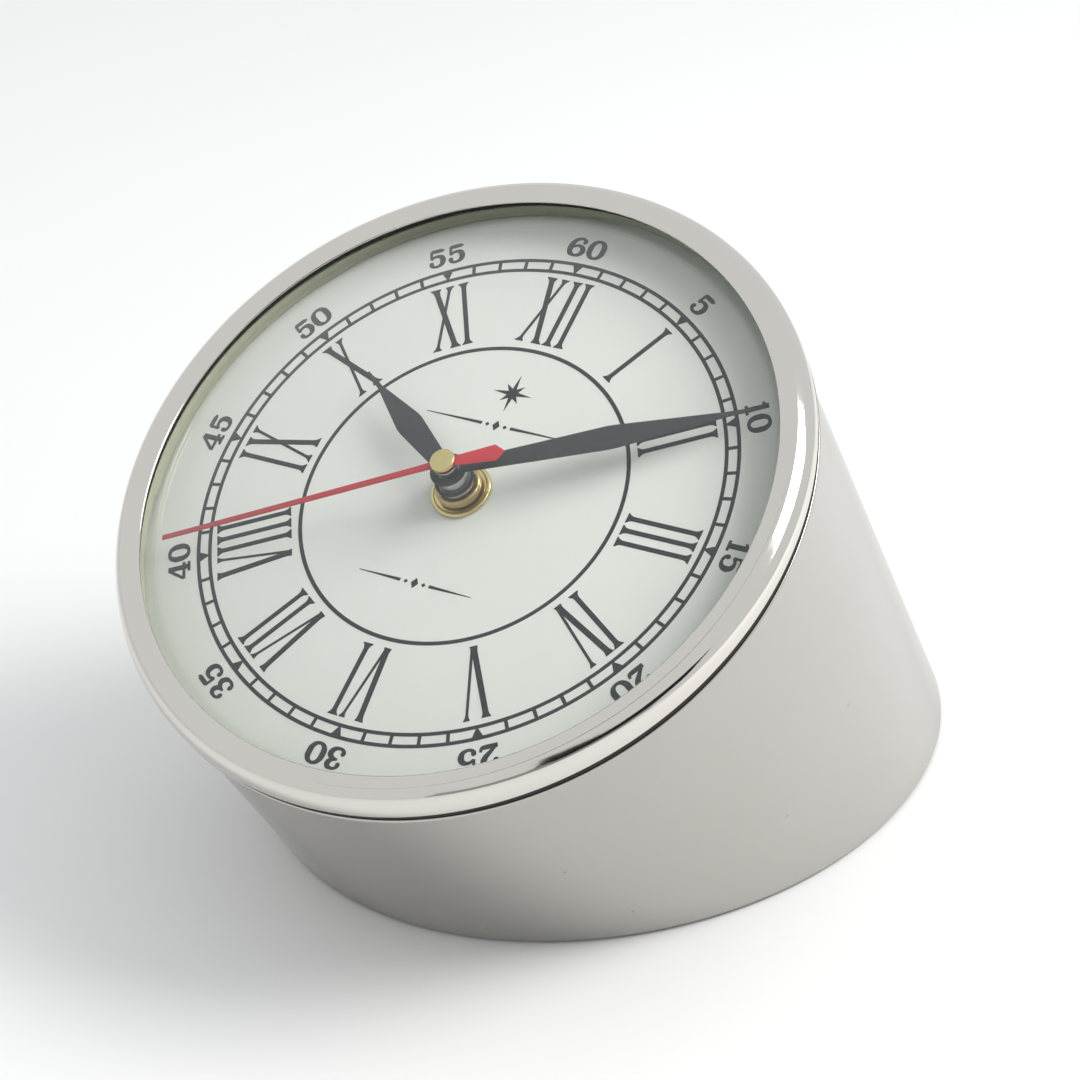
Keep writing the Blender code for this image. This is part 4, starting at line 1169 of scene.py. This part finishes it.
@dataclass(frozen=True)
class Hand(AxisPart):
    """A stamped hand on a round hub.

    Attributes:
        angle: Clockwise angle from 12 o'clock at rest, in degrees.
        length: From the axis to the tip.
        hub_height: Height of its underside at the hub.
        tip_height: Height of its underside at the tip.
        hub: Radius of the hub.
        bore: Radius of the hole in it.
        blade: (distance, half width) along the blade, from the axis.
        tail: (distance, half width) along the tail, from its end, or nothing.
        thick: Thickness of the sheet.
        roll: How far its edges are rolled.
        hub_steps: Faces along the hub.
        bore_steps: Faces round the hole.
    """

    angle: float
    length: float
    hub_height: float
    tip_height: float
    hub: float
    bore: float
    blade: tuple[Point, ...]
    tail: tuple[Point, ...] = ()
    thick: float = 0.35
    roll: float = 0.07
    hub_steps: int = 24
    bore_steps: int = 48

    def crossing(self, near: Point, far: Point) -> float:
        """Angle on the hub at which a side of the blade leaves it.

        Args:
            near: (distance, half width) inside the hub.
            far: (distance, half width) outside the hub.

        Returns:
            The angle from the +X axis.
        """
        low, high = 0.0, 1.0
        for _ in range(HALVINGS):
            share = (low + high) / 2
            y = near[0] + (far[0] - near[0]) * share
            x = near[1] + (far[1] - near[1]) * share
            low, high = (share, high) if math.hypot(x, y) < self.hub else (low, share)
        return math.atan2(y, x)

    def outline(self) -> list[Point]:
        """The hand's outline along +Y, with its hub as an arc."""
        start = self.crossing(self.blade[0], self.blade[1])
        stop = self.crossing(self.blade[0], self.tail[-1]) if self.tail else -math.pi / 2
        arc = [start + (stop - start) * i / self.hub_steps for i in range(self.hub_steps + 1)]
        right = [(half, y) for y, half in reversed(self.blade[1:])]
        right += [(self.hub * math.cos(a), self.hub * math.sin(a)) for a in arc]
        right += [(half, y) for y, half in reversed(self.tail)]
        left = [(-x, y) for x, y in reversed(right) if x > 1e-6]
        return right + left

    def build(self, bench: Workbench) -> None:
        """Stamp the hand, set its blade falling towards the tip and turn it to its place."""
        turns = [i * FULL_TURN / self.bore_steps for i in range(self.bore_steps)]
        hole = [(self.bore * math.cos(a), self.bore * math.sin(a)) for a in turns]
        bm = bench.stamped((self.outline(), hole), self.thick, self.roll)
        everything = list(bm.verts) + list(bm.edges) + list(bm.faces)
        bmesh.ops.bisect_plane(bm, geom=everything, dist=1e-5, plane_co=(0, self.hub, 0),
                               plane_no=(0, 1, 0))
        fall = (self.tip_height - self.hub_height) / (self.length - self.hub)
        for vert in bm.verts:
            vert.co.z += self.hub_height + fall * max(0.0, vert.co.y - self.hub)
        bmesh.ops.rotate(bm, verts=bm.verts, cent=(0, 0, 0),
                         matrix=Matrix.Rotation(-math.radians(self.angle), 3, "Z"))
        bench.hand_over(self.name, bm, self.finish, self.body, [self.node], sharp=28.0)


HANDS = (
    Hand("hour_hand_blade", "hour_hand", Body.HOUR, CHARCOAL, 302.2, 38.0, 4.4, 3.6,
         4.2, 3.5, ((0.0, 1.3), (18.6, 2.85), (20.2, 2.8), (32.5, 0.55), (38.0, 0.3))),
    Hand("minute_hand_blade", "minute_hand", Body.MINUTE, CHARCOAL, 60.6, 62.3, 7.9,
         3.4, 3.9, 2.3, ((0.0, 1.3), (32.8, 2.85), (34.4, 2.8), (57.3, 0.55), (62.3, 0.35))),
    Hand("second_hand_needle", "second_hand", Body.SECOND, RED, 243.5, 64.4, 10.5, 4.2,
         2.3, 1.6, ((0.0, 0.95), (6.0, 0.72), (64.4, 0.55)), ((-12.9, 0.0), (-11.0, 1.9))),
)


@dataclass(frozen=True)
class TurnedPart(AxisPart):
    """A small turned part.

    Attributes:
        outline: Its section.
    """

    outline: Section

    def build(self, bench: Workbench) -> None:
        """Turn the part."""
        bench.hand_over(self.name, bench.turned(self.outline, SMALL_STEPS), self.finish,
                        self.body, [self.node])


HARDWARE = (
    TurnedPart("washer_brass", "brass_washer", Body.CLOCK, BRASS_BRIGHT, (
        (3.9, 0.3), (3.9, 0.8), (5.6, 0.8, 0.1), (5.9, 1.0, 0.1),
        (6.3, 1.0, 0.1), (6.5, 0.8, 0.08), (6.5, 0.3))),
    TurnedPart("nut_round", "center_nut", Body.CLOCK, BRASS_DULL, (
        (3.9, 1.3, 0.1), (3.9, 3.0, 0.15), (4.6, 3.0, 0.1),
        (4.9, 2.7, 0.12), (4.9, 2.25, 0.05), (4.8, 2.15, 0.05),
        (4.9, 2.05, 0.05), (4.9, 1.3, 0.1))),
    TurnedPart("hour_collet", "hour_hand_collet", Body.HOUR, STEEL, (
        (2.7, 7.1, 0.08), (3.2, 7.1, 0.12), (3.2, 4.1, 0.05),
        (3.9, 4.1, 0.1), (3.9, 3.6, 0.1), (2.7, 3.6))),
    TurnedPart("minute_collet", "minute_hand_collet", Body.MINUTE, STEEL, (
        (1.6, 9.3, 0.08), (2.0, 9.3, 0.1), (2.0, 7.6), (3.0, 7.6, 0.05),
        (3.0, 7.4, 0.05), (1.6, 7.4))),
    TurnedPart("second_socket", "second_hand_socket", Body.SECOND, STEEL, (
        (1.6, 10.2), (2.5, 10.2, 0.08), (2.5, 9.6, 0.12), (1.6, 9.6))),
    TurnedPart("cap_brass", "second_hand_cap", Body.SECOND, BRASS_BRIGHT, (
        (0.0, 11.6), (0.35, 12.0, 0.05), (2.45, 12.0, 0.15),
        (2.65, 11.8, 0.15), (2.65, 11.15, 0.12), (1.3, 11.15),
        (1.3, 9.6, 0.1), (0.8, 9.6, 0.05), (0.8, 11.0), (0.0, 11.0))),
)


# Carried-over nodes.
def dress_nodes(frame: Mapping[str, Any], dial: DialFrame) -> None:
    """Give every CAD node that stays its procedural finish.

    Args:
        dial: The dial frame.
    """
    special = {"dial_plate": ENAMEL, "threaded_bushing": BRASS_DULL}
    for name, node in sorted(frame["nodes"].items()):
        if node.hide_render:
            continue
        slot = Slot(node.data.materials[0].name.split(".")[0])
        finish = special.get(name, FINISHES[slot])
        for holder in node.material_slots:
            holder.material = finish.material(dial)
        LOG.info("%s keeps its CAD shape, finish %s", name, finish.name)


# Studio.
@dataclass
class Studio:
    """Floor, lights and camera; all lengths are in metres.

    Attributes:
        camera_at: Where the camera stands.
        camera_forward: Where it looks.
        camera_up: Its upward direction.
        lens: Focal length on a 36 mm sensor.
        floor_reach: Radius of the floor.
        floor_tones: Darker and lighter grey of the floor.
        room: Colour of the room.
        room_strength: How bright the room is.
        lamp_at: Where the lamp hangs.
        lamp_aim: What it points at.
        lamp_size: Its width and height.
        lamp_power: Its power in watts.
        lamp_colour: Its colour.
        cards: Name, centre, width and height, and shade of each card that reflections see.
    """

    camera_at: Mark = (0.282116, -0.452914, 0.333308)
    camera_forward: Mark = (-0.477534, 0.749300, -0.458815)
    camera_up: Mark = (-0.208793, 0.410465, 0.887651)
    lens: float = 91.38
    floor_reach: float = 6.0
    floor_tones: tuple[Colour, Colour] = ((0.86, 0.86, 0.855, 1.0), (0.89, 0.89, 0.885, 1.0))
    room: Colour = (0.97, 0.985, 1.0, 1.0)
    room_strength: float = 0.84
    lamp_at: Mark = (0.76, 0.30, 0.88)
    lamp_aim: Mark = (0.0, 0.0, 0.05)
    lamp_size: Point = (0.6, 0.6)
    lamp_power: float = 9.0
    lamp_colour: Mark = (1.0, 0.99, 0.97)
    cards: tuple[tuple[str, Mark, Point, float], ...] = (
        ("dark_card", (0.78, -0.80, 0.36), (1.0, 0.34), 0.02),
        ("grey_card", (0.62, -1.05, 0.14), (1.4, 0.30), 0.35))

    def floor(self) -> None:
        """A wide pale floor."""
        bm = bmesh.new()
        bmesh.ops.create_circle(bm, segments=96, radius=self.floor_reach, cap_ends=True)
        floor = new_object("floor", bm)
        made, graph = new_material("floor_paper")
        spot = graph.node("TexCoord", {}, "Object")
        colour = graph.mix(graph.noise(spot, 3.0), *self.floor_tones)
        graph.show(graph.node("BsdfPrincipled", {
            "Base Color": colour, "Roughness": 0.9, "Specular IOR Level": 0.1}))
        floor.data.materials.append(made)

    def dome(self) -> None:
        """The pale room that lights everything softly."""
        world = bpy.data.worlds.new("pale_room")
        world.use_nodes = True
        graph = Graph(world.node_tree)
        graph.show(graph.node("Background", {
            "Color": self.room, "Strength": self.room_strength}), "OutputWorld")
        bpy.context.scene.world = world

    def lamp(self) -> None:
        """The rectangular soft lamp."""
        light = bpy.data.lights.new("key", "AREA")
        light.shape = "RECTANGLE"
        light.size, light.size_y = self.lamp_size
        light.energy, light.color = self.lamp_power, self.lamp_colour
        lamp = bpy.data.objects.new("key", light)
        bpy.context.collection.objects.link(lamp)
        lamp.location = self.lamp_at
        aim = Vector(self.lamp_aim) - Vector(self.lamp_at)
        lamp.rotation_euler = aim.to_track_quat("-Z", "Y").to_euler()

    def card(self, name: str, at: Mark, size: Point, shade: float) -> None:
        """A card that faces the clock and that only reflections see.

        Args:
            name: Its name.
            at: Its centre.
            size: Its width and height.
            shade: How light it is.
        """
        bm = bmesh.new()
        bmesh.ops.create_grid(bm, x_segments=1, y_segments=1, size=0.5)
        turn = Vector(at).to_track_quat("Z", "Y").to_matrix().to_4x4()
        bmesh.ops.transform(bm, verts=bm.verts, matrix=Matrix.Translation(at) @ turn
                            @ Matrix.Diagonal((*size, 1.0, 1.0)))
        card = new_object(name, bm)
        made, graph = new_material(name)
        graph.show(graph.node("Emission", {
            "Color": (shade, shade, shade, 1.0), "Strength": 1.0}))
        card.data.materials.append(made)
        card.visible_camera = card.visible_diffuse = card.visible_shadow = False

    def camera(self) -> None:
        """The camera, with no shift and no depth of field."""
        forward, up = Vector(self.camera_forward), Vector(self.camera_up)
        turn = Matrix((forward.cross(up), up, -forward)).transposed()
        data = bpy.data.cameras.new("camera")
        data.lens, data.sensor_width = self.lens, 36.0
        data.clip_start, data.clip_end = 0.01, 50.0
        camera = bpy.data.objects.new("camera", data)
        bpy.context.collection.objects.link(camera)
        camera.matrix_world = Matrix.Translation(self.camera_at) @ turn.to_4x4()
        bpy.context.scene.camera = camera

    def build(self) -> None:
        """Set the stage."""
        self.camera()
        self.floor()
        self.dome()
        self.lamp()
        for card in self.cards:
            self.card(*card)
        settings = bpy.context.scene.view_settings
        settings.view_transform, settings.look = "Standard", "None"


def main() -> None:
    """Build the clock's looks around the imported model."""
    logging.basicConfig(level=logging.INFO, format="%(message)s")
    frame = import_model()
    dial = DialFrame.from_cad(frame)
    bench = Workbench(dial)
    Studio().build()
    for part in (Drum(), Bezel(), DomeGlass(), DialPrint(), *HANDS, *HARDWARE):
        part.build(bench)
    dress_nodes(frame, dial)
    LOG.info("%d new pieces", bench.made)


if __name__ == "__main__":
    main()
